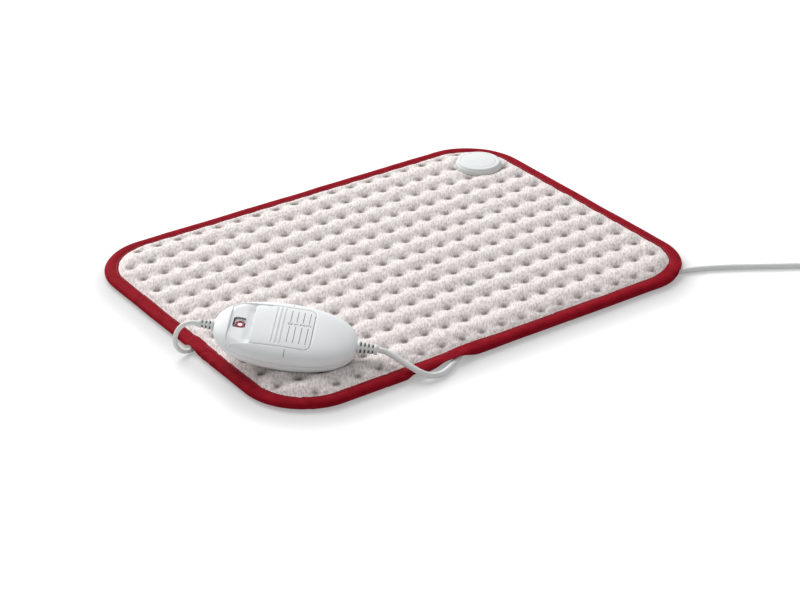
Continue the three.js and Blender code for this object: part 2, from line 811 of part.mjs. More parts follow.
function bottomCover() {
  const sheet = prism(padOutline(coverInset), 0, lowerRimTop);
  const rim = prism(padOutline(rimInset), lowerRimBottom, lowerRimTop);
  const core = prism(padOutline(coreInset), 0, bottomCoverThickness);
  const humpTop = mainsLeadHeight + mainsLeadDiameter / 2 + grooveGap + grooveRoof;
  const humpHalfWidth = mainsLeadDiameter / 2 + grooveGap + grooveCheek;
  const hump = prism(ribbonOutline(mainsGroovePlan, humpHalfWidth), 0, humpTop)
    .intersect(prism(padOutline(coreInset), 0, farReach));
  const flangePocket = cylinder(
    couplingX, couplingY, baseFlangeRadius + fitGap, -1, fitGap + baseFlangeThickness + fitGap, 20,
  );
  const cover = sheet.add(rim).add(core).add(hump).subtract(flangePocket).subtract(nozzleNotch());
  return cutGrooves(cover.subtract(throughHole(baseHoleRadius)));
}

// The binding's section, as [inset from the pad's edge, height]
function bindingSection() {
  const section = [];
  const roundSteps = 6;
  for (let i = 0; i <= roundSteps; i += 1) {
    const angle = Math.PI * (0.5 + i / roundSteps);
    section.push([bindingCrestInset * (1 + Math.cos(angle)), bindingHeight / 2 * (1 + Math.sin(angle))]);
  }
  section.push([bindingWidth, 0], [bindingWidth, bindingWall], [bindingSlotInset, bindingWall]);
  section.push([bindingSlotInset, bindingSlotTop], [bindingWidth, bindingSlotTop]);
  section.push([bindingWidth, bindingLipHeight]);
  return section;
}

function edgeBinding() {
  const section = bindingSection();
  const rings = section.map(([inset, z]) => padOutline(inset).map(({ x, y }) => new THREE.Vector3(x, y, z)));
  const count = rings[0].length;
  const vertices = rings.flat();
  const triangles = [];
  for (let ring = 0; ring < rings.length; ring += 1) {
    const other = (ring + 1) % rings.length;
    for (let k = 0; k < count; k += 1) {
      const next = (k + 1) % count;
      const [a, b, c, d] = [ring * count + k, ring * count + next, other * count + next, other * count + k];
      triangles.push([a, b, c], [a, c, d]);
    }
  }
  return cutGrooves(solidOf(closedGeometry(vertices, triangles)));
}

// The wire starts at the coupling, runs down the right side and comes back up in runs between the tuft rows
const wireRunGap = 10;
const wireClear = capRadius + wireRunGap;
const wireEndMargin = 18;
const wireRight = fieldLength / 2 - coverWall - carrierMargin - wireEndMargin;

function wireRoute() {
  const runCount = tuftsY.count - 1;
  const loopRadius = tuftPitchY / 2;
  const runY = (run) => tuftsY.first + (run + 0.5) * tuftPitchY;
  const returnX = wireRight + wireRunGap;
  const runEnd = (y) => {
    const nearCoupling = Math.abs(y - couplingY) < wireClear + tuftPitchY / 2;
    return nearCoupling ? couplingX - wireClear - loopRadius : wireRight - loopRadius;
  };
  const arcSteps = 5;
  const points = [new THREE.Vector2(returnX, couplingY - wireClear)];
  const addArc = (centreX, centreY, start, sweep) => {
    for (let i = 0; i <= arcSteps; i += 1) {
      const angle = start + sweep * i / arcSteps;
      const [x, y] = [centreX + loopRadius * Math.cos(angle), centreY + loopRadius * Math.sin(angle)];
      points.push(new THREE.Vector2(x, y));
    }
  };
  addArc(returnX - loopRadius, runY(0) + loopRadius, 0, -Math.PI / 2);
  for (let run = 0; run + 1 < runCount; run += 1) {
    const atLeft = run % 2 === 0;
    const rightEnd = Math.min(runEnd(runY(run)), runEnd(runY(run + 1)));
    const centreX = atLeft ? loopRadius - wireRight : rightEnd;
    addArc(centreX, runY(run) + loopRadius, -Math.PI / 2, atLeft ? -Math.PI : Math.PI);
  }
  const lastY = runY(runCount - 1);
  points.push(new THREE.Vector2(runCount % 2 === 0 ? runEnd(lastY) : -wireRight, lastY));
  return points;
}

const carrierInset = coverInset + coverWall + carrierMargin;

function heatingCarrier() {
  return prism(padOutline(carrierInset), carrierBottom, carrierTop).subtract(throughHole(baseHoleRadius));
}

function heatingWire() {
  return prism(ribbonOutline(wireRoute(), wireDiameter / 2), wireBottom, wireBottom + wireDiameter);
}

// A cutout lies on the middle row of tufts, clear of the wire's runs
function thermalCutout(x) {
  const y = tuftsY.first + Math.floor(tuftsY.count / 2) * tuftPitchY;
  const [halfX, halfY] = [cutoutLength / 2, cutoutWidth / 2];
  const outline = roundedOutline(x - halfX, x + halfX, y - halfY, y + halfY, cutoutCornerRadius, 3);
  return prism(outline, wireBottom, wireBottom + wireDiameter);
}

// Coupling pieces, in a group whose +X points along the plug's lead

const baseBottom = fitGap;
const basePlateBottom = basePlateTop - basePlateThickness;
const plugDiscRadius = socketRadius - fitGap;
const plugDiscHeight = basePlateBottom - fitGap - screwHeadHeight - plugHeadroom;

function couplingCap() {
  const shoulder = capTop - capRise;
  const inside = capRadius - capWall;
  const shell = [
    [0, capTop - capWall], [inside - capDomeInset, shoulder], [inside, shoulder - capWall], [inside, capBottom],
    [capRadius, capBottom], [capRadius, shoulder - capEdgeRound], [capRadius - capEdgeRound, shoulder],
    [capRadius - capDomeInset, capTop - capDomeDrop], [0, capTop],
  ];
  let cap = solidOf(turned(shell, 28));
  for (const side of [-1, 1]) {
    const bossBottom = basePlateTop + fitGap;
    const hole = screwShankRadius + fitGap;
    cap = cap.add(cylinder(side * couplingScrewX, 0, hole + bossWall, bossBottom, capTop - capWall / 2));
    cap = cap.subtract(cylinder(side * couplingScrewX, 0, hole, bossBottom - 1, capTop - capWall));
  }
  return cap;
}

function couplingBase() {
  const flangeTop = baseBottom + baseFlangeThickness;
  const cup = [
    [0, basePlateBottom], [socketRadius, basePlateBottom], [socketRadius, baseBottom],
    [baseFlangeRadius, baseBottom], [baseFlangeRadius, flangeTop], [baseTubeRadius, flangeTop],
    [baseTubeRadius, basePlateTop], [0, basePlateTop],
  ];
  let base = solidOf(turned(cup, 24));
  base = base.subtract(box(0, farReach, -notchHalfWidth, notchHalfWidth, -1, nozzleHeight + notchHalfWidth));
  for (const side of [-1, 1]) {
    base = base.subtract(cylinder(side * couplingScrewX, 0, screwShankRadius + fitGap, 0, farReach));
    base = base.subtract(cylinder(0, side * contactY, contactRadius + fitGap, 0, farReach));
  }
  return base;
}

function couplingScrew() {
  const headTop = basePlateBottom - fitGap;
  const headBottom = headTop - screwHeadHeight;
  const tip = capTop - capWall - fitGap;
  return turned([
    [0, headBottom], [screwHeadRadius, headBottom], [screwHeadRadius, headTop], [screwShankRadius, headTop],
    [screwShankRadius, tip], [0, tip],
  ], 12);
}

function socketContact() {
  return cylinder(0, 0, contactRadius, contactBottom, basePlateTop + contactTab, 12);
}

function couplingPlug() {
  const disc = cylinder(0, 0, plugDiscRadius, baseBottom, plugDiscHeight, 24);
  const nozzle = solidOf(alongX(turned([
    [0, 0], [plugNozzleRadius, 0], [plugNozzleRadius, plugNozzleReach], [0, plugNozzleReach],
  ], 14)).translate(0, 0, nozzleHeight));
  let plug = disc.add(nozzle);
  for (const side of [-1, 1]) {
    const hole = cylinder(0, side * contactY, contactRadius + fitGap, contactBottom - fitGap, farReach);
    plug = plug.subtract(hole);
  }
  return plug;
}

// Controller pieces, in the case's own frame

const recessCornerRadius = sliderCornerRadius + slideGap;
const windowU = recessLeft + windowFromWall;
const boardLength = 2 * (screwX - screwHeadRadius - fitGap - postWall - boardEndGap);
const boardPostX = boardLength / 2 - boardPostFromEnd;
const boardPostY = boardWidth / 2 - boardPostFromSide;

// Height of the recess floor, which is arched across the case
function recessFloorAt(v) {
  return recessFloorHeight - recessFloorDrop * (v / (sliderWidth / 2)) ** 2;
}

const screwTip = recessFloorAt(screwY) - recessFloorThickness - screwTipCover;

// Everything below the recess floor, moved up by an offset
function belowFloor(offset) {
  const edge = sliderWidth / 2 + slideGap + 2 * caseWall;
  const steps = 8;
  const outline = [new THREE.Vector2(-edge, -farReach), new THREE.Vector2(edge, -farReach)];
  for (let i = 0; i <= steps; i += 1) {
    const v = edge * (1 - 2 * i / steps);
    outline.push(new THREE.Vector2(v, recessFloorAt(v) + offset));
  }
  const options = { depth: caseLength, bevelEnabled: false };
  const geometry = new THREE.ExtrudeGeometry(new THREE.Shape(outline), options);
  const axes = new THREE.Matrix4().makeBasis(
    new THREE.Vector3(0, 1, 0), new THREE.Vector3(0, 0, 1), new THREE.Vector3(1, 0, 0),
  );
  return solidOf(geometry.translate(0, 0, -caseLength / 2).applyMatrix4(axes));
}

function recessPrism(grow) {
  const half = sliderWidth / 2 + slideGap + grow;
  const outline = roundedOutline(
    recessLeft - grow, sliderRight + slideGap + grow, -half, half, recessCornerRadius + grow,
  );
  return prism(outline, 0, farReach);
}

function forScrews(action) {
  for (const u of [-screwX, screwX]) {
    for (const v of [-screwY, screwY]) action(u, v);
  }
}

function endHole(side, neck) {
  const radius = neck + fitGap;
  const [start, end] = [reliefFlangeAt + reliefFlangeThickness / 2, caseLength];
  const hole = alongX(turned([[0, start], [radius, start], [radius, end], [0, end]], 14));
  return solidOf(side > 0 ? hole : hole.rotateZ(Math.PI));
}

function cutEndHoles(solid) {
  return solid.subtract(endHole(-1, padReliefNeck)).subtract(endHole(1, mainsReliefNeck));
}

const screwHole = screwShankRadius + fitGap;

function upperShell() {
  const outer = caseSolid(0);
  const wall = outer.subtract(caseSolid(caseWall));
  const tray = recessPrism(caseWall).intersect(outer).subtract(belowFloor(-recessFloorThickness));
  let shell = wall.add(tray);
  forScrews((u, v) => {
    shell = shell.add(cylinder(u, v, screwHole + bossWall, fitGap / 2, caseTop).intersect(outer));
  });
  const recess = recessPrism(0).subtract(belowFloor(0));
  const slotRight = stemOffset + stemLength / 2 + slideGap;
  const slotLeft = stemOffset - stemLength / 2 - sliderTravel - slideGap;
  const slotHalf = stemWidth / 2 + slideGap;
  shell = shell.subtract(recess).subtract(box(slotLeft, slotRight, -slotHalf, slotHalf, 0, farReach));
  shell = shell.subtract(prism(windowOutline(0), 0, farReach));
  forScrews((u, v) => {
    shell = shell.subtract(cylinder(u, v, screwHole, -1, screwTip + fitGap, 12));
  });
  const above = box(-farReach, farReach, -farReach, farReach, fitGap / 2, farReach);
  return cutEndHoles(shell.intersect(above));
}

function lowerShell() {
  const outer = caseSolid(0);
  let shell = outer.subtract(caseSolid(caseWall));
  const headHole = screwHeadRadius + fitGap;
  forScrews((u, v) => {
    shell = shell.add(cylinder(u, v, headHole + postWall, -caseBelly, 0).intersect(outer));
  });
  for (const u of [-boardPostX, boardPostX]) {
    for (const v of [-boardPostY, boardPostY]) {
      const post = cylinder(u, v, boardPostRadius, -caseBelly, boardHeight - fitGap, 10);
      shell = shell.add(post.intersect(outer));
    }
  }
  forScrews((u, v) => {
    shell = shell.subtract(cylinder(u, v, headHole, -farReach, screwSeatHeight + fitGap, 14));
    shell = shell.subtract(cylinder(u, v, screwHole, -farReach, 1, 12));
  });
  const below = box(-farReach, farReach, -farReach, farReach, -farReach, -fitGap / 2);
  return cutEndHoles(shell.intersect(below));
}

const boardTop = boardHeight + boardThickness;
const stripBottom = boardTop + fitGap;
const wiperBottom = stripBottom + stripThickness + fitGap;
const stemBottom = wiperBottom + wiperThickness + fitGap;

function heatSlider() {
  const half = sliderWidth / 2;
  const plan = prism(roundedOutline(sliderLeft, sliderRight, -half, half, sliderCornerRadius), 0, farReach);
  const plate = plan.intersect(caseSolid(0)).subtract(belowFloor(fitGap));
  let slider = plate;
  for (let i = 0; i < gripRidgeCount; i += 1) {
    const u = sliderLeft + gripRidgeStart + i * gripRidgePitch;
    const reach = half - gripRidgeMargin;
    const bar = box(u, u + gripRidgeWidth, -reach, reach, recessFloorHeight, farReach);
    slider = slider.add(bar.intersect(caseSolid(-gripRidgeHeight)).subtract(belowFloor(fitGap)));
  }
  const stem = box(
    stemOffset - stemLength / 2, stemOffset + stemLength / 2, -stemWidth / 2, stemWidth / 2,
    stemBottom, recessFloorHeight + 1,
  );
  return slider.add(stem);
}

function wiperContact() {
  const [halfLength, halfWidth] = [stemLength / 2, wiperWidth / 2];
  const top = wiperBottom + wiperThickness;
  return box(stemOffset - halfLength, stemOffset + halfLength, -halfWidth, halfWidth, wiperBottom, top);
}

function contactStrip() {
  const middle = stemOffset - sliderTravel / 2;
  return box(
    middle - stripLength / 2, middle + stripLength / 2, -stripWidth / 2, stripWidth / 2,
    stripBottom, stripBottom + stripThickness,
  );
}

function circuitBoard() {
  return box(-boardLength / 2, boardLength / 2, -boardWidth / 2, boardWidth / 2, boardHeight, boardTop);
}

const lensHalfWidth = windowWidth / 2 + lensFlange;
const lensFlangeTop = recessFloorAt(lensHalfWidth) - recessFloorThickness - fitGap;
const lensBottom = lensFlangeTop - lensFlangeThickness;

function windowOutline(grow) {
  const halfU = windowLength / 2 + grow;
  const halfV = windowWidth / 2 + grow;
  return roundedOutline(windowU - halfU, windowU + halfU, -halfV, halfV, windowCornerRadius + grow, 4);
}

function windowLens() {
  const flange = prism(windowOutline(lensFlange), lensBottom, lensFlangeTop);
  return flange.add(prism(windowOutline(-fitGap), lensBottom, recessFloorHeight - lensSink));
}

function indicatorPlate() {
  const top = lensBottom - fitGap;
  return prism(windowOutline(lensFlange), top - indicatorPlateThickness, top);
}

function indicatorLamp() {
  const u = -boardLength / 2 + lampRadius + 1;
  const top = lensBottom - fitGap - indicatorPlateThickness - fitGap;
  return cylinder(u, 0, lampRadius, stripBottom, top, 14);
}

function fuse() {
  const tube = alongX(turned([[0, 0], [fuseRadius, 0], [fuseRadius, fuseLength], [0, fuseLength]], 14));
  const v = fuseRadius + fuseFromSide - boardWidth / 2;
  return solidOf(tube.translate(fuseStart, v, stripBottom + fuseRadius));
}

function boardBlock([u, v], [length, width, height]) {
  return box(u - length / 2, u + length / 2, v - width / 2, v + width / 2, stripBottom, stripBottom + height);
}

function caseScrew() {
  const low = screwSeatHeight - screwHeadHeight;
  return turned([
    [0, low], [screwHeadRadius, low], [screwHeadRadius, screwSeatHeight], [screwShankRadius, screwSeatHeight],
    [screwShankRadius, screwTip], [0, screwTip],
  ], 14);
}

// A strain relief along +X: a flange inside the case, a neck through its wall, then a tapered ribbed sleeve
function strainRelief(length, root, tip, neck, ribs) {
  const flangeEnd = reliefFlangeAt + reliefFlangeThickness;
  const flangeRadius = neck + reliefFlangeLip;
  const profile = [[0, reliefFlangeAt], [flangeRadius, reliefFlangeAt], [flangeRadius, flangeEnd]];
  profile.push([neck, flangeEnd], [neck, reliefStart]);
  const ribPitch = length / ribs;
  for (let i = 0; i < ribs; i += 1) {
    const start = reliefStart + i * ribPitch;
    const radius = THREE.MathUtils.lerp(root, tip, i / (ribs - 1));
    const isLast = i + 1 === ribs;
    const ribEnd = isLast ? start + ribPitch : start + ribShare * ribPitch;
    profile.push([radius, start], [radius, ribEnd]);
    if (!isLast) {
      profile.push([radius - ribGrooveDepth, ribEnd], [radius - ribGrooveDepth, start + ribPitch]);
    }
  }
  profile.push([0, reliefStart + length]);
  return alongX(turned(profile, 14));
}

// Coil, tie and plug

function leastCoilGap(points) {
  let least = Infinity;
  const apart = Math.round(coilStepsPerTurn / 2);
  for (let i = 0; i < points.length; i += 1) {
    for (let j = i + apart; j < points.length; j += 1) {
      least = Math.min(least, points[i].distanceTo(points[j]) - mainsLeadDiameter);
    }
  }
  return least;
}

function coilTie() {
  const inner = coilInnerRadius - mainsLeadDiameter / 2 - 2 * fitGap;
  const outer = coilOuterRadius + mainsLeadDiameter / 2 + 2 * fitGap;
  const low = coilFloor - mainsLeadDiameter / 2 - fitGap;
  const high = coilFloor + coilLayerRise + mainsLeadDiameter / 2 + 2 * fitGap;
  const half = tieWidth / 2;
  const wall = tieThickness;
  const band = box(inner - wall, outer + wall, -half, half, low - wall, high + wall);
  return band.subtract(box(inner, outer, -tieWidth, tieWidth, low, high));
}

function plugBody() {
  const half = plugWidth / 2;
  const tail = plugTailWidth / 2;
  const side = [
    [0, tail], [plugTailLength, tail], [plugFlareEnd, half - plugShoulder],
    [plugFlareEnd + 2 * plugShoulder, half], [plugLength, half],
  ];
  const left = side.map(([x, y]) => new THREE.Vector2(x, y));
  const right = side.map(([x, y]) => new THREE.Vector2(x, -y)).reverse();
  return prism([...left, ...right], 0, plugHeight);
}

function plugPin(side) {
  const pin = alongX(turned([
    [0, 0], [pinRadius, 0], [pinRadius, pinLength - pinRound],
    [pinRadius - pinRound, pinLength], [0, pinLength],
  ], 12));
  return pin.translate(plugLength + fitGap, side * pinSpacing / 2, plugHeight / 2);
}

// Assembly

const heatingPad = new THREE.Group();

heatingPad.add(
  piece('bottom_cover', bottomCover(), wadding),
  piece('heating_carrier', heatingCarrier(), carrierCloth),
  piece('heating_wire', heatingWire(), wireSleeve),
  piece('thermal_cutout_left', thermalCutout(leftCutoutX), darkPlastic),
  piece('thermal_cutout_right', thermalCutout(rightCutoutX), darkPlastic),
  piece('top_cover', topCover(), fleece),
  piece('edge_binding', edgeBinding(), crimson),
);

const coupling = new THREE.Group();
coupling.position.set(couplingX, couplingY, 0);
coupling.rotation.z = couplingTurn;
coupling.add(
  piece('coupling_base', couplingBase(), casePlastic),
  piece('coupling_cap', couplingCap(), casePlastic),
  piece('coupling_plug', couplingPlug(), leadPlastic),
);
for (const [name, side] of [['inner', 1], ['outer', -1]]) {
  const screw = piece(`coupling_screw_${name}`, couplingScrew(), steel);
  screw.position.x = side * couplingScrewX;
  const contact = piece(`socket_contact_${name}`, socketContact(), brass);
  contact.position.y = side * contactY;
  coupling.add(screw, contact);
}
heatingPad.add(coupling);

const controller = new THREE.Group();
controller.applyMatrix4(casePlace);
controller.add(
  piece('lower_shell', lowerShell(), casePlastic),
  piece('upper_shell', upperShell(), casePlastic),
  piece('heat_slider', heatSlider(), sliderPlastic),
  piece('wiper_contact', wiperContact(), brass),
  piece('contact_strip', contactStrip(), brass),
  piece('circuit_board', circuitBoard(), boardGreen),
  piece('window_lens', windowLens(), clearPlastic),
  piece('indicator_plate', indicatorPlate(), sliderPlastic),
  piece('indicator_lamp', indicatorLamp(), lampRed),
  piece('fuse', fuse(), steel),
  piece('capacitor', boardBlock(capacitorPlace, capacitorSize), darkPlastic),
  piece('triac', boardBlock(triacPlace, triacSize), darkPlastic),
);
let screwNumber = 0;
forScrews((u, v) => {
  screwNumber += 1;
  const screw = piece(`case_screw_${screwNumber}`, caseScrew(), steel);
  screw.position.set(u, v, 0);
  controller.add(screw);
});
const padSleeve = strainRelief(padReliefLength, padReliefRoot, padReliefTip, padReliefNeck, padReliefRibs);
const padRelief = piece('pad_strain_relief', padSleeve, leadPlastic);
padRelief.rotation.z = Math.PI;
const mainsSleeve = strainRelief(
  mainsReliefLength, mainsReliefRoot, mainsReliefTip, mainsReliefNeck, mainsReliefRibs,
);
controller.add(padRelief, piece('mains_strain_relief', mainsSleeve, leadPlastic));
heatingPad.add(controller);

const coilRoute = coilPoints();
console.log(`least gap between the coil's turns: ${leastCoilGap(coilRoute).toFixed(2)} mm`);

heatingPad.add(
  piece('pad_lead', leadTube(padLeadCurve, padLeadDiameter, padLeadSteps), leadPlastic),
  piece('mains_lead', leadTube(mainsLeadCurve, mainsLeadDiameter, mainsLeadSteps), leadPlastic),
  piece('mains_lead_coil', tubeThrough(coilRoute, mainsLeadDiameter / 2, coilSides), leadPlastic),
  piece('mains_lead_tail', leadTube(tailCurve, mainsLeadDiameter, tailSteps), leadPlastic),
);

const tie = piece('coil_tie', coilTie(), darkPlastic);
tie.position.set(coilX, coilY, 0);
tie.rotation.z = tieAngle;
heatingPad.add(tie);

const plug = new THREE.Group();
plug.position.set(plugX, plugY, 0);
plug.rotation.z = plugHeading;
plug.add(
  piece('plug_body', plugBody(), leadPlastic),
  piece('plug_pin_left', plugPin(1), steel),
  piece('plug_pin_right', plugPin(-1), steel),
);
heatingPad.add(plug);

export default heatingPad;
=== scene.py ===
"""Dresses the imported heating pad: quilting, bound edge, controller, coupling, leads, light and camera."""

import json
import math

import bmesh
import bpy
import numpy as np
from mathutils import Euler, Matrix, Vector, geometry, noise


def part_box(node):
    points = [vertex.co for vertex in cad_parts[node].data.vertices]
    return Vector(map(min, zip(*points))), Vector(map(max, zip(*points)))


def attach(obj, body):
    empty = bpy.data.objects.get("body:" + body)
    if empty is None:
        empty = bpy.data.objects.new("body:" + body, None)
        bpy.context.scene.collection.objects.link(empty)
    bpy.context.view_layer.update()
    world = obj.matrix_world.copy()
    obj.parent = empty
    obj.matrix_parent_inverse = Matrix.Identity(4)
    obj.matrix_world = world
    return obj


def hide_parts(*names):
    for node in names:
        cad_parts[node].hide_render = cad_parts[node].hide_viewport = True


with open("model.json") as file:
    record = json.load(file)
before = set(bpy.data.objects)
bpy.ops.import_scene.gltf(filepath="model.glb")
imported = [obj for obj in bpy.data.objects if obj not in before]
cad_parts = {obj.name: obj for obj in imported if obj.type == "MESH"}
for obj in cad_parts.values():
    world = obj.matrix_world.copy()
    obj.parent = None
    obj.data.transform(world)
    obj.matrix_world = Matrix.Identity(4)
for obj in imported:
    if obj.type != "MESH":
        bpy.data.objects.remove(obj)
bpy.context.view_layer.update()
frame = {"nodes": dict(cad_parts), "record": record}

# Lengths are in millimetres, as in the part's source, and become metres where a mesh is made
MM = 0.001
ROOT_BODY = "pad_and_case"
SLIDER_BODY = "slider"

# Pad
pad_low, pad_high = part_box("edge_binding")
PAD_HALF_X, PAD_HALF_Y = ((pad_high[k] - pad_low[k]) / 2 / MM for k in range(2))
PAD_CORNER = 58.0
PAD_SIZES = (PAD_HALF_X, PAD_HALF_Y, PAD_CORNER)
BINDING_HEIGHT = 7.5
BINDING_CREST = 5.5
BINDING_SLOT = 4.2
BINDING_ARCH = 10.0
STITCH_INSET = 10.9
STITCH_PITCH = 3.4
STITCH_SHARE = 0.74
STITCH_HEIGHT = 6.3
FIELD_INSET = 13.3
FIELD_SIZES = [size - FIELD_INSET for size in PAD_SIZES]
FIELD_HALF_X, FIELD_HALF_Y, FIELD_CORNER = FIELD_SIZES
UNDERSIDE_TUCK = 4.0

# Quilting
TUFT_PITCH_X = 20.5
TUFT_PITCH_Y = 24.0
TUFT_COUNT_X = 20
TUFT_COUNT_Y = 13
TUFT_FIRST_X = -(TUFT_COUNT_X - 1) / 2 * TUFT_PITCH_X
TUFT_FIRST_Y = -(TUFT_COUNT_Y - 1) / 2 * TUFT_PITCH_Y
TUFT_POWER = 1.3
HEM_HEIGHT = 5.6
EDGE_HEIGHT = 8.2
TUFT_HEIGHT = 6.7
WIRE_COVER = 7.5
SADDLE_HEIGHT = 9.2
RIDGE_HEIGHT = 11.2
PILLOW_HEIGHT = 12.0
EDGE_NEAR = 0.5
EDGE_FAR = 7.5
GRID_SHIFT_X = -2.5
GRID_LEAN = 2.0
GRID_SHIFT_Y = -2.0
# Painted shade at the tufts: a dark spot in each pit and a fainter halo round it, in the fleece's colour
PIT_SHADE_RADIUS = 2.7
SHADE_HALO_RADIUS = 6.5
SHADE_HALO_SHARE = 0.24
SWELL_FRAMES = 20
SWELL_PRESSURE = 90.0
SWELL_CAP = 1.2
WIRE_TURN_X = 174.0
WIRE_TURN_HALF = 9
CUTOUT_MARGIN = 3
CELLS_PER_TUFT_X = 8
CELLS_PER_TUFT_Y = 10

# Controller case
CASE_HALF_LENGTH = 58.0
CASE_HALF_WIDTH = 32.5
CASE_TOP = 12.0
CASE_BELLY = 14.0
CASE_WALL = 1.4
PLAN_POWER = 2.3
HEIGHT_POWER = 3.0
CASE_PLACE = np.array([-168.6, -88.8, 28.24])
CASE_TURN = np.array(Euler([math.radians(angle) for angle in (14, 6.5, -41)]).to_matrix())
PARTING_GAP = 0.15
RECESS_LEFT = -45.3
RECESS_RIGHT = 21.9
RECESS_HALF = 22.8
RECESS_CORNER = 5.8
RECESS_U = (RECESS_LEFT + RECESS_RIGHT) / 2
RECESS_SIZES = ((RECESS_RIGHT - RECESS_LEFT) / 2, RECESS_HALF, RECESS_CORNER)
RECESS_FILLET = 0.5
FLOOR_HEIGHT = 8.0
FLOOR_DROP = 3.2
PANEL_HEIGHT = 7.9
PANEL_SINK = 0.9
FALL_START = -34.0
FALL_DEPTH = 1.6
SLOT_LEFT = -11.4
SLOT_RIGHT = 12.4
SLOT_HALF = 1.9
SLOT_CORNER = 0.4
SLOT_U = (SLOT_LEFT + SLOT_RIGHT) / 2
SLOT_SIZES = ((SLOT_RIGHT - SLOT_LEFT) / 2, SLOT_HALF, SLOT_CORNER)
SCREW_U = 41.0
SCREW_V = 12.0
WELL_RADIUS = 2.9
WELL_TOP = -7.4
SCREW_BORE = 1.7
BASE_SHARE = 0.86
SHELL = {"in_case": True, "sharp": 50, "thickness": CASE_WALL, "weld": 0.02}

# Slider
SLIDER_LEFT = -26.7
SLIDER_RIGHT = 21.5
SLIDER_HALF = 22.4
SLIDER_CORNER = 5.4
SLIDER_FILLET = 0.55
STAGE_PITCH = 5.0
SLIDER_TRAVEL = 3 * STAGE_PITCH
GRIP_PLACES = (-10.6, -7.2, -3.8)
GRIP_HALF = 0.75
GRIP_HEIGHT = 0.08
GRIP_REACH = 20.4
GROOVE_WIDTH = 1.2
GROOVE_DEPTH = 1.0
RAMP_LENGTH = 0.3
SCALE_FIRST = 2.6
STEM_U = 8.0
STEM_LOW = 0.9
STEM_HIGH = 8.6

# Window
WINDOW_U = -37.5
WINDOW_HALF_U = 5.2
WINDOW_HALF_V = 6.0
WINDOW_CORNER = 2.5
WINDOW_SIZES = (WINDOW_HALF_U, WINDOW_HALF_V, WINDOW_CORNER)
LENS_TOP = 7.5
LENS_BOTTOM = 4.87
LENS_WALL = 0.8
LENS_FLANGE = 0.9
PLATE_TOP = 4.57
WELL_FLOOR = 6.3
CARD_U = WINDOW_U + 0.6
CARD_V = -1.2

# The sleeves' cuts leave a bar along the side that faces up and forwards, and one opposite
BAR_WAY = (-0.74, 0.67)
RIB_SHARE = 0.56
CUT_SHARE = 0.84
RIB_SOFT = 0.3

# Coupling and leads
COUPLING = np.array([175.3, 108.7])
COUPLING_HOLE = 16
COUPLING_POCKET = 21.3
CAP_RADIUS = 22.0
CAP_BOTTOM = 8.9
CAP_TOP = 15.9
PAD_LEAD_DIAMETER = 3.9
PAD_LEAD_HEIGHT = 2.15
MAINS_LEAD_DIAMETER = 5.0
MAINS_LEAD_HEIGHT = 2.7
COIL = np.array([306.0, -259.0])
COIL_TURNS = 6
COIL_START = 59
COIL_RADIUS = 21
COIL_SPACING = 5.7
COIL_HEIGHT = 3.6
COIL_CLIMB = 5.5
TIE_ANGLE = 215
TIE_INNER = 17.9
TIE_OUTER = 41.2
TIE_LOW = 0.8
TIE_HIGH = 12.2
PLUG = np.array([356.0, -275.0])
PLUG_HEIGHT = 13.0
PIN_SPACING = 18.6
PIN_START = 34.3

# Camera, and the wide part of the pad's shadow, painted into the floor's colour, in metres
CAMERA_PLACE = Vector((-0.9537, -1.3493, 0.8737))
CAMERA_LENS = 96.345
CAMERA_SENSOR = 36.0
CAMERA_SHIFT = (0.0074, -0.04)
SHADOW_SHIFT = (-0.008, -0.012, 0.0)
SHADOW_SHRINK = 0.006
SHADOW_FADE = 0.034
FLOOR_TONE = 0.8
SHADOW_TONE = 0.47
FLOOR_DEPTH = 0.0002
WHITE = (1, 1, 1, 1)


def lerp(start, end, share):
    return start + (end - start) * share


def smoothstep(value, low, high):
    share = np.clip((value - low) / (high - low), 0, 1)
    return share * share * (3 - 2 * share)


def bell(distance, width):
    return np.exp(-(distance / width) ** 2)


def wobble(points, size, seed):
    """Smooth noise from -1 to 1 at each point, with features of the given size."""
    shift = Vector((seed, 2.3 * seed, 0.7 * seed))
    return np.array([noise.noise(Vector(point) / size + shift) for point in points])


# Shapes

def at_height(plan, height):
    """Plan points raised to one height, or each to its own."""
    return np.column_stack([plan, np.broadcast_to(height, len(plan))])


def angles_round(sides):
    return np.linspace(0, 2 * math.pi, sides, endpoint=False)


def rounded_distance(x, y, half_x, half_y, radius):
    """Signed distance to a rounded rectangle about the origin, negative inside it."""
    out_x = np.abs(x) - (half_x - radius)
    out_y = np.abs(y) - (half_y - radius)
    beyond = np.hypot(np.maximum(out_x, 0), np.maximum(out_y, 0))
    return beyond + np.minimum(np.maximum(out_x, out_y), 0) - radius


def rounded_loop(half_x, half_y, radius, step):
    """Points round a rounded rectangle and the outward normal at each, anticlockwise."""
    signs = ((1, 1), (-1, 1), (-1, -1), (1, -1))
    centres = [np.array([sx * (half_x - radius), sy * (half_y - radius)]) for sx, sy in signs]
    arc_count = max(math.ceil(radius * math.pi / 2 / step), 6)
    points = []
    normals = []
    for k, centre in enumerate(centres):
        angles = np.linspace(k, k + 1, arc_count + 1) * math.pi / 2
        turn = np.column_stack([np.cos(angles), np.sin(angles)])
        points.append(centre + radius * turn)
        normals.append(turn)
        way = centres[(k + 1) % len(centres)] - centre
        count = max(int(np.linalg.norm(way) / step), 2)
        shares = np.linspace(0, 1, count + 1)[1:-1, None]
        points.append(centre + radius * turn[-1] + shares * way)
        normals.append(np.tile(turn[-1], (count - 1, 1)))
    return np.vstack(points), np.vstack(normals)


def circle_loop(centre, radius, sides):
    angles = angles_round(sides)
    return centre + radius * np.column_stack([np.cos(angles), np.sin(angles)])


def lengths_along(loop):
    """The loop with its first point again at its end, and the length along it at each point."""
    closed = np.vstack([loop, loop[:1]])
    steps = np.linalg.norm(np.diff(closed, axis=0), axis=1)
    return closed, np.concatenate([[0], np.cumsum(steps)])


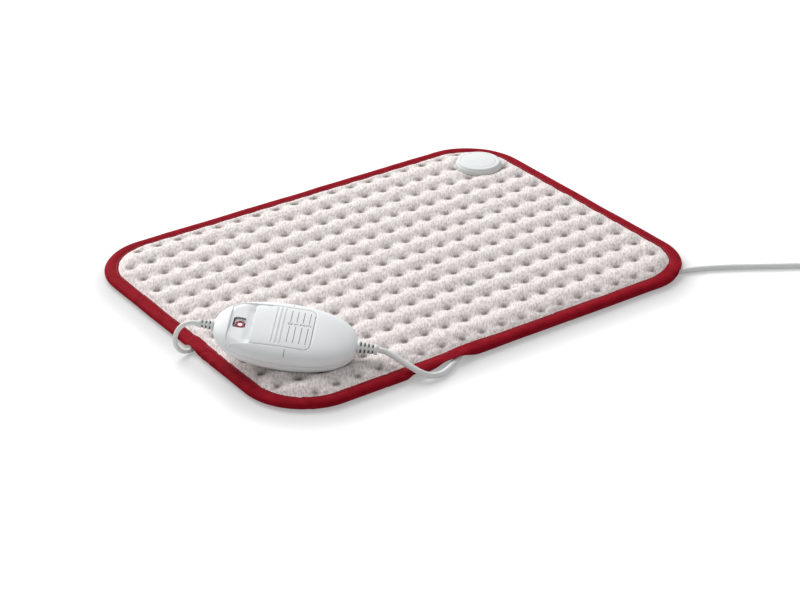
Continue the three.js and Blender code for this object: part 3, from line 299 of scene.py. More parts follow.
def loft(rings, closed=False, caps=True):
    """Points and quads between rings of equal length; a closed loft joins its last ring to its first."""
    rings = np.asarray(rings, float)
    ring_count, side_count = rings.shape[:2]
    faces = []
    for i in range(ring_count if closed else ring_count - 1):
        here = i * side_count
        there = (i + 1) % ring_count * side_count
        for k in range(side_count):
            after = (k + 1) % side_count
            faces.append((here + k, here + after, there + after, there + k))
    if caps and not closed:
        faces.append(tuple(reversed(range(side_count))))
        faces.append(tuple((ring_count - 1) * side_count + k for k in range(side_count)))
    return rings.reshape(-1, 3), faces


def turned(profile, sides):
    """A profile of (radius, height) turned about Z, as rings."""
    return [at_height(circle_loop(0, radius, sides), height) for radius, height in profile]


def filled(outer, holes, corners, step, margin, keep):
    """Plan points and triangles inside an outline with holes, over a grid between two corners."""
    low, high = corners
    axes = [np.arange(low[k], high[k], step) for k in range(2)]
    x, y = (axis.ravel() for axis in np.meshgrid(*axes))
    points = []
    edges = []
    for loop in (outer, *holes):
        start = len(points)
        points += [Vector(point) for point in loop]
        edges += [(start + k, start + (k + 1) % len(loop)) for k in range(len(loop))]
    points += [Vector(spot) for spot in np.column_stack([x, y])[keep(x, y, margin)]]
    result = geometry.delaunay_2d_cdt(points, edges, [], 0, 1e-5)
    plan = np.array([tuple(point) for point in result[0]])
    faces = [tuple(face) for face in result[2]]
    middles = np.array([plan[list(face)].mean(axis=0) for face in faces])
    stays = keep(middles[:, 0], middles[:, 1], 0.0)
    return plan, [face for face, stay in zip(faces, stays) if stay]


def joined(*shapes):
    """Several (points, faces) shapes as one."""
    points = []
    faces = []
    start = 0
    for shape_points, shape_faces in shapes:
        points.append(np.asarray(shape_points, float))
        faces += [tuple(start + index for index in face) for face in shape_faces]
        start += len(shape_points)
    return np.vstack(points), faces


def grid_quads(wide, tall):
    """Quads of a grid of points that is stored row by row."""
    return [
        (j * wide + i, j * wide + i + 1, (j + 1) * wide + i + 1, (j + 1) * wide + i)
        for j in range(tall - 1) for i in range(wide - 1)
    ]


def case_to_pad(points):
    return np.asarray(points, float) @ CASE_TURN.T + CASE_PLACE


def new_object(name, data):
    item = bpy.data.objects.new(name, data)
    bpy.context.scene.collection.objects.link(item)
    return item


def new_mesh(name, points, faces):
    mesh = bpy.data.meshes.new(name)
    mesh.from_pydata(np.asarray(points).tolist(), [], faces)
    return mesh


def make_piece(
    name, shape, finish, slot, node=None, body=ROOT_BODY,
    in_case=False, sharp=None, thickness=None, weld=None,
):
    """A smooth piece from points in millimetres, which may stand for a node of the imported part."""
    points, faces = shape
    if in_case:
        points = case_to_pad(points)
    mesh = new_mesh(name, np.asarray(points) * MM, faces)
    work = bmesh.new()
    work.from_mesh(mesh)
    if weld:
        bmesh.ops.remove_doubles(work, verts=work.verts[:], dist=weld * MM)
    bmesh.ops.recalc_face_normals(work, faces=work.faces[:])
    if thickness:
        bmesh.ops.solidify(work, geom=work.faces[:], thickness=thickness * MM)
        bmesh.ops.recalc_face_normals(work, faces=work.faces[:])
    work.to_mesh(mesh)
    work.free()
    mesh.shade_smooth()
    if sharp:
        mesh.set_sharp_from_angle(angle=math.radians(sharp))
    mesh.materials.append(finish)
    piece = new_object(name, mesh)
    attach(piece, body)
    if node:
        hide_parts(node)
    return piece


def paint(piece, name, values):
    """A value at each point of a piece, which its finish reads by name."""
    layer = piece.data.attributes.new(name, "FLOAT", "POINT")
    layer.data.foreach_set("value", values.astype(np.float32))


# Finishes

def add_node(tree, kind, output, links=None, values=None, **settings):
    """A new shader node with its settings, values and links; gives one of its outputs."""
    node = tree.nodes.new(kind)
    for name, value in settings.items():
        setattr(node, name, value)
    for name, value in (values or {}).items():
        node.inputs[name].default_value = value
    for name, source in (links or {}).items():
        tree.links.new(source, node.inputs[name])
    return node.outputs[output]


class Finish:
    """A node material whose colour, roughness and bump vary over the surface."""

    def __init__(self, name, sockets):
        self.material = bpy.data.materials.new(name)
        self.material.use_nodes = True
        self.tree = self.material.node_tree
        self.shader = self.tree.nodes["Principled BSDF"]
        self.place = add_node(self.tree, "ShaderNodeTexCoord", "Object")
        self.normal = None
        for socket, value in sockets.items():
            self.shader.inputs[socket].default_value = value

    def noise(self, size, detail=3.0, place=None):
        values = {"Scale": 1 / (size * MM), "Detail": detail}
        return add_node(self.tree, "ShaderNodeTexNoise", "Fac", {"Vector": place or self.place}, values)

    def stretched(self, angle, factor):
        """Coordinates that draw a pattern out along a direction in the pad's plane."""
        values = {"Rotation": (0, 0, math.radians(angle)), "Scale": (1, factor, 1)}
        links = {"Vector": self.place}
        return add_node(self.tree, "ShaderNodeMapping", "Vector", links, values, vector_type="TEXTURE")

    def weave(self, size, direction):
        values = {"Scale": 1 / (size * MM) / 3.18, "Distortion": 0.6}
        links = {"Vector": self.place}
        return add_node(self.tree, "ShaderNodeTexWave", "Fac", links, values, bands_direction=direction)

    def ramp(self, source, dark, light, low=0.3, high=0.7):
        node = self.tree.nodes.new("ShaderNodeValToRGB")
        for element, place, tone in zip(node.color_ramp.elements, (low, high), (dark, light)):
            element.position = place
            element.color = (*tone, 1)
        self.tree.links.new(source, node.inputs["Fac"])
        return node.outputs["Color"]

    def mix(self, factor, first, second):
        links = {"Factor": factor, "A": first, "B": second}
        return add_node(self.tree, "ShaderNodeMix", "Result", links, data_type="RGBA")

    def attribute(self, name):
        return add_node(self.tree, "ShaderNodeAttribute", "Fac", attribute_name=name)

    def colour(self, source):
        self.tree.links.new(source, self.shader.inputs["Base Color"])

    def roughness(self, source, low, high):
        values = {"To Min": low, "To Max": high}
        spread = add_node(self.tree, "ShaderNodeMapRange", "Result", {"Value": source}, values)
        self.tree.links.new(spread, self.shader.inputs["Roughness"])

    def bump(self, source, height, strength=1.0):
        links = {"Height": source}
        if self.normal:
            links["Normal"] = self.normal
        values = {"Distance": height * MM, "Strength": strength}
        self.normal = add_node(self.tree, "ShaderNodeBump", "Normal", links, values)
        self.tree.links.new(self.normal, self.shader.inputs["Normal"])


def fleece_finish():
    finish = Finish("fleece_pile", {"Sheen Weight": 0.2, "Sheen Roughness": 0.6, "Specular IOR Level": 0.1})
    strands = finish.noise(1.4, 5.0, finish.stretched(-35, 4.0))
    pile = finish.ramp(strands, (0.62, 0.565, 0.55), (0.92, 0.855, 0.835), 0.36, 0.58)
    # Painted shade: the near-black tone laid into the pits and their halos
    pit_shade = finish.ramp(strands, (0.13, 0.105, 0.1), (0.3, 0.25, 0.235))
    finish.colour(finish.mix(finish.attribute("pit_shade"), pile, pit_shade))
    finish.roughness(strands, 0.86, 1.0)
    finish.bump(finish.noise(3.4), 0.9, 0.6)
    finish.bump(strands, 0.8, 0.8)
    return finish.material


def relief_finish():
    finish = Finish("relief_white", {})
    patches = finish.noise(6.0)
    light = finish.ramp(patches, (0.74, 0.755, 0.745), (0.80, 0.815, 0.805))
    # Painted shade: the cuts between the ribs are coloured near-black, standing in for the shadow in these
    # hollows
    dark = finish.ramp(patches, (0.03, 0.032, 0.034), (0.06, 0.063, 0.066))
    finish.colour(finish.mix(finish.attribute("shade"), light, dark))
    finish.roughness(patches, 0.4, 0.55)
    finish.bump(finish.noise(0.8), 0.03, 0.5)
    return finish.material


def plain_finish(name, tone, dark, light, gloss, low, high, bumps=(), sockets=None):
    """A changing tone, an uneven gloss and bumps, from noises of (size, detail) or weaves of (size, way)."""
    finish = Finish(name, sockets or {})
    finish.colour(finish.ramp(finish.noise(*tone), dark, light))
    finish.roughness(finish.noise(*gloss), low, high)
    for pattern, height, strength in bumps:
        make = finish.weave if isinstance(pattern[-1], str) else finish.noise
        finish.bump(make(*pattern), height, strength)
    return finish.material


def moulded_finish(name, dark, light, low, high, grain=0.5, depth=0.02, sockets=None):
    """Moulded plastic: a faint change of tone, an uneven gloss and a fine moulded grain."""
    grains = [((grain, 2.0), depth, 0.5)]
    return plain_finish(name, (16.0, 3.0), dark, light, (5.0, 4.0), low, high, grains, sockets)


def metal_finish(name, dark, light, low, high):
    grains = [((0.4, 2.0), 0.015, 0.4)]
    return plain_finish(name, (1.8, 4.0), dark, light, (0.6, 4.0), low, high, grains, {"Metallic": 1.0})


fleece = fleece_finish()
brushed_cloth = plain_finish(
    "brushed_cloth", (2.2, 5.0), (0.66, 0.61, 0.58), (0.76, 0.71, 0.68), (0.9, 4.0), 0.85, 1.0,
    [((0.9, 4.0), 0.35, 0.8)], {"Sheen Weight": 0.25, "Specular IOR Level": 0.15})
crimson_tape = plain_finish(
    "crimson_tape", (9.0, 4.0), (0.215, 0.005, 0.012), (0.3, 0.008, 0.018), (2.0, 3.0), 0.55, 0.72,
    [((9.0, 4.0), 0.5, 0.35), ((0.62, "DIAGONAL"), 0.05, 0.5)], {"Specular IOR Level": 0.02})
crimson_thread = plain_finish(
    "crimson_thread", (0.7, 3.0), (0.19, 0.006, 0.014), (0.30, 0.012, 0.024), (0.5, 3.0), 0.5, 0.75,
    [((0.35, "DIAGONAL"), 0.06, 0.7)], {"Sheen Weight": 0.2})
SATIN = {"Specular IOR Level": 0.22}
case_white, slider_white = (
    moulded_finish(name, (0.86, 0.885, 0.89), (0.89, 0.915, 0.92), 0.42, 0.54, sockets=SATIN)
    for name in ("case_white", "slider_white"))
coupling_white = moulded_finish(
    "coupling_white", (0.72, 0.745, 0.745), (0.76, 0.785, 0.785), 0.6, 0.72, sockets=SATIN)
lead_white = moulded_finish("lead_white", (0.74, 0.755, 0.745), (0.80, 0.815, 0.805), 0.4, 0.55, 0.8, 0.03)
print_grey = moulded_finish("print_grey", (0.1, 0.105, 0.11), (0.15, 0.155, 0.16), 0.5, 0.65)
print_red = moulded_finish("print_red", (0.2, 0.0, 0.012), (0.26, 0.001, 0.018), 0.6, 0.75)
# Painted shade: the near-black sleeve inside the window
well_shade = moulded_finish("window_shade_well", (0.012, 0.014, 0.017), (0.025, 0.028, 0.033), 0.4, 0.6)
window_grey = moulded_finish("window_grey", (0.26, 0.29, 0.315), (0.34, 0.37, 0.395), 0.4, 0.6)
plate_white = moulded_finish("plate_white", (0.78, 0.78, 0.77), (0.85, 0.85, 0.84), 0.4, 0.55)
board_green = moulded_finish("board_green", (0.02, 0.11, 0.05), (0.04, 0.17, 0.08), 0.35, 0.5)
dark_plastic = moulded_finish("dark_plastic", (0.02, 0.02, 0.022), (0.04, 0.04, 0.043), 0.4, 0.6)
wire_sleeve = moulded_finish("wire_sleeve", (0.45, 0.42, 0.36), (0.53, 0.49, 0.43), 0.5, 0.7)
lamp_red = moulded_finish("lamp_red", (0.55, 0.04, 0.02), (0.68, 0.06, 0.03), 0.12, 0.22)
steel = metal_finish("plated_steel", (0.5, 0.52, 0.53), (0.68, 0.7, 0.71), 0.2, 0.36)
brass = metal_finish("brass", (0.55, 0.4, 0.14), (0.72, 0.54, 0.22), 0.24, 0.4)
relief_white = relief_finish()
clear_window = plain_finish(
    "clear_window", (6.0, 3.0), (0.93, 0.95, 0.96), (0.97, 0.98, 0.98), (2.0, 3.0), 0.03, 0.09,
    sockets={"Transmission Weight": 1.0, "IOR": 1.12})
carrier_cloth = plain_finish(
    "carrier_cloth", (3.0, 4.0), (0.8, 0.8, 0.76), (0.9, 0.9, 0.86), (1.0, 3.0), 0.85, 0.98,
    [((0.8, "X"), 0.08, 0.6), ((0.8, "Y"), 0.08, 0.6)])

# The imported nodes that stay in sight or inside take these
NODE_FINISHES = {
    "fleece": fleece,
    "wadding": brushed_cloth,
    "binding": crimson_tape,
    "carrier_cloth": carrier_cloth,
    "wire_sleeve": wire_sleeve,
    "case_plastic": case_white,
    "slider_plastic": slider_white,
    "lead_plastic": lead_white,
    "clear_plastic": clear_window,
    "board": board_green,
    "dark_plastic": dark_plastic,
    "brass": brass,
    "steel": steel,
    "lamp_red": lamp_red,
}


def dress_nodes():
    for row in frame["record"]["subparts"]:
        node = frame["nodes"][row["node"]]
        finish = NODE_FINISHES[row["material_slot"]]
        if not node.material_slots:
            node.data.materials.append(finish)
        for place in node.material_slots:
            place.material = finish


# Camera, light and floor

def look_at(item, target):
    item.rotation_euler = (Vector(target) - item.location).to_track_quat("-Z", "Y").to_euler()


def make_camera():
    data = bpy.data.cameras.new("camera")
    data.lens = CAMERA_LENS
    data.sensor_width = CAMERA_SENSOR
    data.shift_x, data.shift_y = CAMERA_SHIFT
    data.clip_start = 0.05
    camera = new_object("camera", data)
    camera.location = CAMERA_PLACE
    look_at(camera, (0, 0, 0))
    bpy.context.scene.camera = camera


def make_lamp(name, place, size, power):
    data = bpy.data.lights.new(name, "AREA")
    data.shape = "DISK"
    data.size = size
    data.energy = power
    lamp = new_object(name, data)
    lamp.location = place
    look_at(lamp, (0, 0, 0))


def seen_rays(tree):
    """1 for the rays that show the background: from the camera, in a reflection or through glass."""
    path = tree.nodes.new("ShaderNodeLightPath")
    total = path.outputs["Is Camera Ray"]
    for name in ("Is Glossy Ray", "Is Transmission Ray"):
        links = {0: total, 1: path.outputs[name]}
        total = add_node(tree, "ShaderNodeMath", "Value", links, operation="ADD", use_clamp=True)
    return total


def make_world(strength):
    world = bpy.data.worlds.new("studio")
    world.use_nodes = True
    bpy.context.scene.world = world
    tree = world.node_tree
    light = tree.nodes["Background"]
    light.inputs["Color"].default_value = WHITE
    light.inputs["Strength"].default_value = strength
    white = add_node(tree, "ShaderNodeBackground", "Background", values={"Color": WHITE})
    links = {"Fac": seen_rays(tree), 1: light.outputs["Background"], 2: white}
    mixed = add_node(tree, "ShaderNodeMixShader", "Shader", links)
    tree.links.new(mixed, tree.nodes["World Output"].inputs["Surface"])


def product(tree, first, second):
    return add_node(tree, "ShaderNodeMath", "Value", {0: first, 1: second}, operation="MULTIPLY")


def vector_step(finish, place, operation, value=(0, 0, 0), output="Vector"):
    links = {0: place}
    return add_node(finish.tree, "ShaderNodeVectorMath", output, links, {1: value}, operation=operation)


def wide_shadow(finish):
    """Painted shadow on the floor: 1 under the pad and a little in front of it, falling to 0 farther out."""
    corner = [(half - PAD_CORNER) * MM - SHADOW_SHRINK for half in (PAD_HALF_X, PAD_HALF_Y)] + [0]
    place = vector_step(finish, finish.place, "SUBTRACT", SHADOW_SHIFT)
    place = vector_step(finish, place, "ABSOLUTE")
    place = vector_step(finish, place, "SUBTRACT", corner)
    place = vector_step(finish, place, "MAXIMUM")
    links = {"Value": vector_step(finish, place, "LENGTH", output="Value")}
    radius = PAD_CORNER * MM
    values = {"From Min": radius, "From Max": radius + SHADOW_FADE, "To Min": 1.0, "To Max": 0.0}
    kind = "ShaderNodeMapRange"
    return add_node(finish.tree, kind, "Result", links, values, interpolation_type="SMOOTHSTEP")


def make_floor(reach, glow, near, far):
    """A pale floor that keeps the shadow, with a wider soft shadow painted into its colour for the
    background's rays, and a glow that only the background's rays see, full far out.
    """
    corners = [(-reach, -reach, 0), (reach, -reach, 0), (reach, reach, 0), (-reach, reach, 0)]
    floor = new_object("floor", new_mesh("floor", corners, [(0, 1, 2, 3)]))
    floor.location.z = -FLOOR_DEPTH
    finish = Finish("floor_white", {"Roughness": 1.0, "Specular IOR Level": 0.0})
    tree = finish.tree
    seen = seen_rays(tree)
    patches = finish.noise(900.0)
    tones = [
        finish.ramp(patches, (tone - 0.01,) * 3, (tone + 0.01,) * 3) for tone in (FLOOR_TONE, SHADOW_TONE)
    ]
    # Painted shadow: the floor's tone falls to SHADOW_TONE near the pad's front edges
    finish.colour(finish.mix(product(tree, seen, wide_shadow(finish)), *tones))
    links = {"Value": vector_step(finish, finish.place, "LENGTH", output="Value")}
    values = {"From Min": near, "From Max": far, "To Min": glow}
    strength = add_node(tree, "ShaderNodeMapRange", "Result", links, values)
    light = add_node(tree, "ShaderNodeEmission", "Emission", {"Strength": product(tree, seen, strength)})
    both = add_node(tree, "ShaderNodeAddShader", "Shader", {0: finish.shader.outputs["BSDF"], 1: light})
    tree.links.new(both, tree.nodes["Material Output"].inputs["Surface"])
    floor.data.materials.append(finish.material)


# Leads

def route(stops, step=1.5):
    """Points along a centripetal Catmull-Rom curve through the stops."""
    stops = np.array(stops, float)
    guides = np.vstack([2 * stops[0] - stops[1], stops, 2 * stops[-1] - stops[-2]])
    points = []
    for i in range(1, len(guides) - 2):
        before, start, end, after = guides[i - 1:i + 3]
        t0 = math.sqrt(np.linalg.norm(start - before))
        t1 = math.sqrt(np.linalg.norm(end - start))
        t2 = math.sqrt(np.linalg.norm(after - end))
        leave = ((start - before) / t0 - (end - before) / (t0 + t1) + (end - start) / t1) * t1
        arrive = ((end - start) / t1 - (after - start) / (t1 + t2) + (after - end) / t2) * t1
        count = max(int(np.linalg.norm(end - start) / step), 2)
        t = np.linspace(0, 1, count, endpoint=False)[:, None]
        square = 3 * (end - start) - 2 * leave - arrive
        cube = 2 * (start - end) + leave + arrive
        points.append(start + leave * t + square * t ** 2 + cube * t ** 3)
    points.append(stops[-1:])
    return np.vstack(points)


def coil_point(turn):
    from_middle = turn - COIL_TURNS / 2
    angle = math.radians(COIL_START) - 2 * math.pi * turn
    radius = COIL_RADIUS + COIL_SPACING * abs(from_middle)
    climb = min(max(from_middle / 0.5 + 0.5, 0), 1)
    height = COIL_HEIGHT + COIL_CLIMB * (1 - math.cos(math.pi * climb)) / 2
    return np.array([*(COIL + radius * np.array([math.cos(angle), math.sin(angle)])), height])


def beside_coil(turn, distance):
    step = 0.002
    heading = coil_point(min(turn + step, COIL_TURNS)) - coil_point(max(turn - step, 0))
    return coil_point(turn) + distance * heading / np.linalg.norm(heading)


def pad_lead_route():
    """From the case over the pad's edge and under the pad to the coupling."""
    lane = np.array([-196.0, -18.0])
    heading = (lane - COUPLING) / np.linalg.norm(lane - COUPLING)
    ends = [COUPLING + 27.1 * heading, COUPLING + 19.3 * heading]
    return route([
        *case_to_pad([(-71.1, 0, 0), (-75.0, 0, 0)]),
        (-229.5, -36.4, 35.4), (-233.2, -32.6, 31), (-235.2, -29.8, 24.5), (-235.4, -27.8, 17.5),
        (-233.2, -26.6, 10.5), (-228.6, -26, 5), (-221.5, -24.9, 2.5),
        *at_height([(-211, -22.4), lane, (-100, 14.8), (0, 48.9), (100, 83), *ends], PAD_LEAD_HEIGHT),
    ])


def mains_lead_route():
    """The lead from the case, its coil and the tail to the plug, as one line."""
    on_floor = [
        (-69, -170.8), (-58, -165), (-44, -156.4), (-26, -148), (0, -143), (60, -143), (110, -143),
        (148, -143.6), (175, -146.6), (200, -153.2), (222, -163), (246, -177), (270, -192.6),
        (294, -207.6),
    ]
    lead = route([
        *case_to_pad([(74.6, 0, 0), (79.6, 0, 0)]),
        (-104.6, -148.4, 16.6), (-101.4, -155, 13.8), (-97.8, -161.8, 11), (-93.2, -168.2, 7.6),
        (-86.6, -172.4, 4.4), (-78, -173.2, 2.9),
        *at_height(on_floor, MAINS_LEAD_HEIGHT),
        beside_coil(0, -10.3),
        beside_coil(0, -0.3),
    ])
    coil = np.array([coil_point(turn) for turn in np.linspace(0, COIL_TURNS, COIL_TURNS * 72 + 1)])
    tail = route([
        beside_coil(COIL_TURNS, 0.3),
        beside_coil(COIL_TURNS, 10.3),
        (COIL[0] + 38.8, COIL[1] + 19.6, 7.6),
        (COIL[0] + 46.2, COIL[1] + 9, 6.2),
        (PLUG[0], PLUG[1] + 10, PLUG_HEIGHT / 2),
        (PLUG[0], PLUG[1] + 0.3, PLUG_HEIGHT / 2),
    ])
    return np.vstack([lead, coil, tail])


def make_lead(name, points, diameter):
    curve = bpy.data.curves.new(name, "CURVE")
    curve.dimensions = "3D"
    curve.bevel_depth = diameter / 2 * MM
    curve.bevel_resolution = 5
    curve.use_fill_caps = True
    spline = curve.splines.new("POLY")
    spline.points.add(len(points) - 1)
    for spot, point in zip(spline.points, points * MM):
        spot.co = (*point, 1)
    spline.use_smooth = True
    curve.materials.append(lead_white)
    lead = new_object(name, curve)
    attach(lead, ROOT_BODY)
    return lead


pad_line = pad_lead_route()
mains_line = mains_lead_route()


def lead_roof(x, y, spread):
    """Lowest height of the cloth over the leads that pass under the pad, 0 away from them."""
    roof = np.zeros_like(x)
    for line, diameter in ((pad_line, PAD_LEAD_DIAMETER), (mains_line, MAINS_LEAD_DIAMETER)):
        low = line[(line[:, 2] < BINDING_HEIGHT) & (np.abs(line[:, 0]) < PAD_HALF_X + 14)]
        nearest = np.full(x.shape, np.inf)
        for point in low:
            nearest = np.minimum(nearest, np.hypot(x - point[0], y - point[1]))
        top = diameter + 0.65
        roof = np.maximum(roof, top * (1 - smoothstep(nearest, diameter / 2 + 0.3, diameter / 2 + spread)))
    return roof


def arched(height, roof):
    """A height of the bound edge where it arches over a lead: its top stays and the rest is pressed up."""
    return BINDING_HEIGHT - (BINDING_HEIGHT - height) * (BINDING_HEIGHT - roof) / BINDING_HEIGHT


# Quilted top

def plan_measure(u, v):
    """Below 1 inside the case's outline, in the case's own frame."""
    return np.abs(u / CASE_HALF_LENGTH) ** PLAN_POWER + np.abs(v / CASE_HALF_WIDTH) ** PLAN_POWER


def case_measure(points):
    """Below 1 inside the case, in the case's own frame."""
    plan = plan_measure(points[..., 0], points[..., 1])
    depth = np.where(points[..., 2] > 0, CASE_TOP, CASE_BELLY)
    return plan ** (HEIGHT_POWER / PLAN_POWER) + np.abs(points[..., 2] / depth) ** HEIGHT_POWER


def case_underside(x, y):
    """Lowest height of the case above each point of the pad, infinite where it isn't above it."""
    heights = np.linspace(6, 36, 301)
    lowest = np.full(x.shape, np.inf)
    near = np.flatnonzero(np.hypot(x - CASE_PLACE[0], y - CASE_PLACE[1]) < CASE_HALF_LENGTH + 6)
    places = np.stack(np.broadcast_arrays(x[near, None], y[near, None], heights), axis=-1)
    inside = case_measure((places - CASE_PLACE) @ CASE_TURN) < 1
    first = inside.argmax(axis=1)
    found = inside.any(axis=1)
    lowest[near[found]] = heights[first[found]]
    return lowest


def field_inside(x, y):
    """Distance in from the rim of the quilted field, negative outside it."""
    return -rounded_distance(x, y, *FIELD_SIZES)


def tuft_grid(x, y):
    """Places counted in tufts, in a grid that lies a little askew on the pad."""
    grid_x = x - GRID_SHIFT_X - GRID_LEAN * y / FIELD_HALF_Y
    grid_y = y - GRID_SHIFT_Y
    return (grid_x - TUFT_FIRST_X) / TUFT_PITCH_X, (grid_y - TUFT_FIRST_Y) / TUFT_PITCH_Y


def tuft_distance(x, y):
    """Distance to the nearest tuft, counted shorter along the row, where the stitch lies."""
    across, along = tuft_grid(x, y)
    column = np.clip(np.round(across), 0, TUFT_COUNT_X - 1)
    row = np.clip(np.round(along), 0, TUFT_COUNT_Y - 1)
    return np.hypot((across - column) * TUFT_PITCH_X * 0.8, (along - row) * TUFT_PITCH_Y)


def over_wire(x, y):
    """Where the heating wire turns or a limiter lies, so that no tuft goes deep there."""
    covered = np.abs(np.abs(x) - WIRE_TURN_X) < WIRE_TURN_HALF
    for name in ("thermal_cutout_left", "thermal_cutout_right"):
        low, high = (np.array(corner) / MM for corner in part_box(name))
        in_x = (x > low[0] - CUTOUT_MARGIN) & (x < high[0] + CUTOUT_MARGIN)
        covered |= in_x & (y > low[1] - CUTOUT_MARGIN) & (y < high[1] + CUTOUT_MARGIN)
    return covered


def quilt_height(x, y):
    across_x, across_y = (np.abs(np.sin(np.pi * place)) ** TUFT_POWER for place in tuft_grid(x, y))
    row = lerp(TUFT_HEIGHT, SADDLE_HEIGHT, across_x)
    ridge = lerp(RIDGE_HEIGHT, PILLOW_HEIGHT, across_x)
    puffed = lerp(row, ridge, across_y)
    inside = field_inside(x, y)
    free = lerp(EDGE_HEIGHT, puffed, smoothstep(inside, EDGE_NEAR, EDGE_FAR))
    free = np.maximum(free, np.where(over_wire(x, y), WIRE_COVER, 0))
    return lerp(HEM_HEIGHT, free, smoothstep(inside, -0.8, 1.8))


def quilt_limit(x, y):
    """Highest that the fleece may stand: under the case, under the coupling's cap and beside it."""
    clear = 0.35
    from_cap = np.hypot(x - COUPLING[0], y - COUPLING[1]) - CAP_RADIUS
    cap = CAP_BOTTOM - clear + np.maximum(from_cap - 0.4, 0) * 1.3
    return np.minimum(case_underside(x, y) - clear, cap)


def quilt_grid():
    """Plan points and quads of the quilting, snapped to the field's outline, with a tucked rim."""
    axes = []
    for pitch, cells, first, half in (
        (TUFT_PITCH_X, CELLS_PER_TUFT_X, TUFT_FIRST_X, FIELD_HALF_X),
        (TUFT_PITCH_Y, CELLS_PER_TUFT_Y, TUFT_FIRST_Y, FIELD_HALF_Y),
    ):
        step = pitch / cells
        count = math.ceil((half + 4) / step)
        axes.append((first / step) % 1 * step + step * np.arange(-count, count + 1))
    plan = np.column_stack([axis.ravel() for axis in np.meshgrid(*axes)])
    reach = -field_inside(*plan.T)
    away = np.abs(plan)
    core = np.array([FIELD_HALF_X, FIELD_HALF_Y]) - FIELD_CORNER
    to_side = core + FIELD_CORNER - away
    at_side_x = (away[:, 1] <= core[1]) | (to_side[:, 0] < to_side[:, 1])
    outward = np.where((away > core).all(axis=1, keepdims=True), np.maximum(away - core, 0), 0)
    length = np.hypot(*outward.T)[:, None]
    straight = np.column_stack([at_side_x, ~at_side_x])
    normals = np.sign(plan) * np.where(length > 0, outward / np.maximum(length, 1e-6), straight)
    snap, hem, beyond = 1.2, 2.6, 3.6
    target = np.where(reach > snap, hem, 0.0)
    move = np.where(reach > -snap, target - reach, 0.0)
    quads = grid_quads(*(len(axis) for axis in axes))
    quads = [quad for quad in quads if max(reach[k] for k in quad) < beyond]
    return plan + normals * move[:, None], quads


def used_only(points, faces):
    used = sorted({index for face in faces for index in face})
    place = {index: k for k, index in enumerate(used)}
    return points[used], [tuple(place[index] for index in face) for face in faces]


def applied(item):
    """Points and faces of an object with its modifiers applied; the object goes."""
    result = item.evaluated_get(bpy.context.evaluated_depsgraph_get()).to_mesh()
    points = np.empty(len(result.vertices) * 3)
    result.vertices.foreach_get("co", points)
    faces = [tuple(face.vertices) for face in result.polygons]
    mesh = item.data
    bpy.data.objects.remove(item)
    bpy.data.meshes.remove(mesh)
    return points.reshape(-1, 3), faces


def subdivided(name, shape):
    """The shape with one step of smooth subdivision."""
    rough = new_object(name, new_mesh(name, *shape))
    rough.modifiers.new("smooth", "SUBSURF").levels = 1
    return applied(rough)


def swelled(shape, held):
    """The shape after a short cloth simulation: pressure puffs it up between the points that are held."""
    points, faces = shape
    scene = bpy.context.scene
    cloth = new_object("quilt_cloth", new_mesh("quilt_cloth", points * MM, faces))
    cloth.vertex_groups.new(name="held").add(np.flatnonzero(held).tolist(), 1.0, "REPLACE")
    modifier = cloth.modifiers.new("cloth", "CLOTH")
    modifier.collision_settings.use_collision = False
    modifier.point_cache.frame_start = 1
    modifier.point_cache.frame_end = SWELL_FRAMES
    settings = modifier.settings
    settings.quality = 6
    settings.mass = 0.02
    settings.tension_stiffness = 12
    settings.compression_stiffness = 12
    settings.shear_stiffness = 6
    settings.bending_stiffness = 1.0
    settings.vertex_group_mass = "held"
    settings.use_pressure = True
    settings.uniform_pressure_force = SWELL_PRESSURE
    settings.effector_weights.gravity = 0
    for count in range(1, SWELL_FRAMES + 1):
        scene.frame_set(count)
    moved, _ = applied(cloth)
    scene.frame_set(1)
    move = moved / MM - points
    far = np.linalg.norm(move, axis=1)
    return points + move * np.minimum(1, SWELL_CAP / np.maximum(far, 1e-6))[:, None]


def make_quilt():
    plan, quads = quilt_grid()
    middles = plan[np.array(quads)].mean(axis=1)
    clear = np.hypot(*(middles - COUPLING).T) > COUPLING_HOLE
    plan, quads = used_only(plan, [quad for quad, stay in zip(quads, clear) if stay])
    x, y = plan.T
    flat = at_height(plan, 0)
    height = quilt_height(x + 0.7 * wobble(flat, 26.0, 3.1), y + 0.7 * wobble(flat, 26.0, 8.4))
    puff = 1 + 0.1 * wobble(flat, 17.0, 5.7)
    height = np.where(height > WIRE_COVER, WIRE_COVER + (height - WIRE_COVER) * puff, height)
    limit = quilt_limit(x, y)
    rough = at_height(plan, np.minimum(height, limit))
    held = (tuft_distance(x, y) < 1.5) | (field_inside(x, y) < 1.0) | (height > limit - 0.2)
    rough = swelled((rough, quads), held)
    points, faces = subdivided("quilt_base", (rough, quads))
    x, y = points[:, 0], points[:, 1]
    inside = field_inside(x, y)
    limit = quilt_limit(x, y)
    pressed = smoothstep(limit - points[:, 2], 0.0, 1.2)
    lumps = 0.24 * wobble(points, 4.2, 1.9) + 0.16 * wobble(points, 2.1, 6.6)
    points[:, 2] += lumps * smoothstep(inside, 0, 4) * pressed
    points[:, 2] = np.minimum(points[:, 2], limit + 0.1)
    quilt = make_piece("quilted_top", (points, faces), fleece, "fleece", "top_cover")
    # Painted shade of the pits: a dark core at each tuft and a wider faint halo, kept off the rim and where
    # the case presses
    away = tuft_distance(x, y)
    shade_halo = SHADE_HALO_SHARE * bell(away, SHADE_HALO_RADIUS) * smoothstep(inside, 2, 8)
    paint(quilt, "pit_shade", np.minimum(bell(away, PIT_SHADE_RADIUS) + shade_halo, 1) * pressed)


# Underside

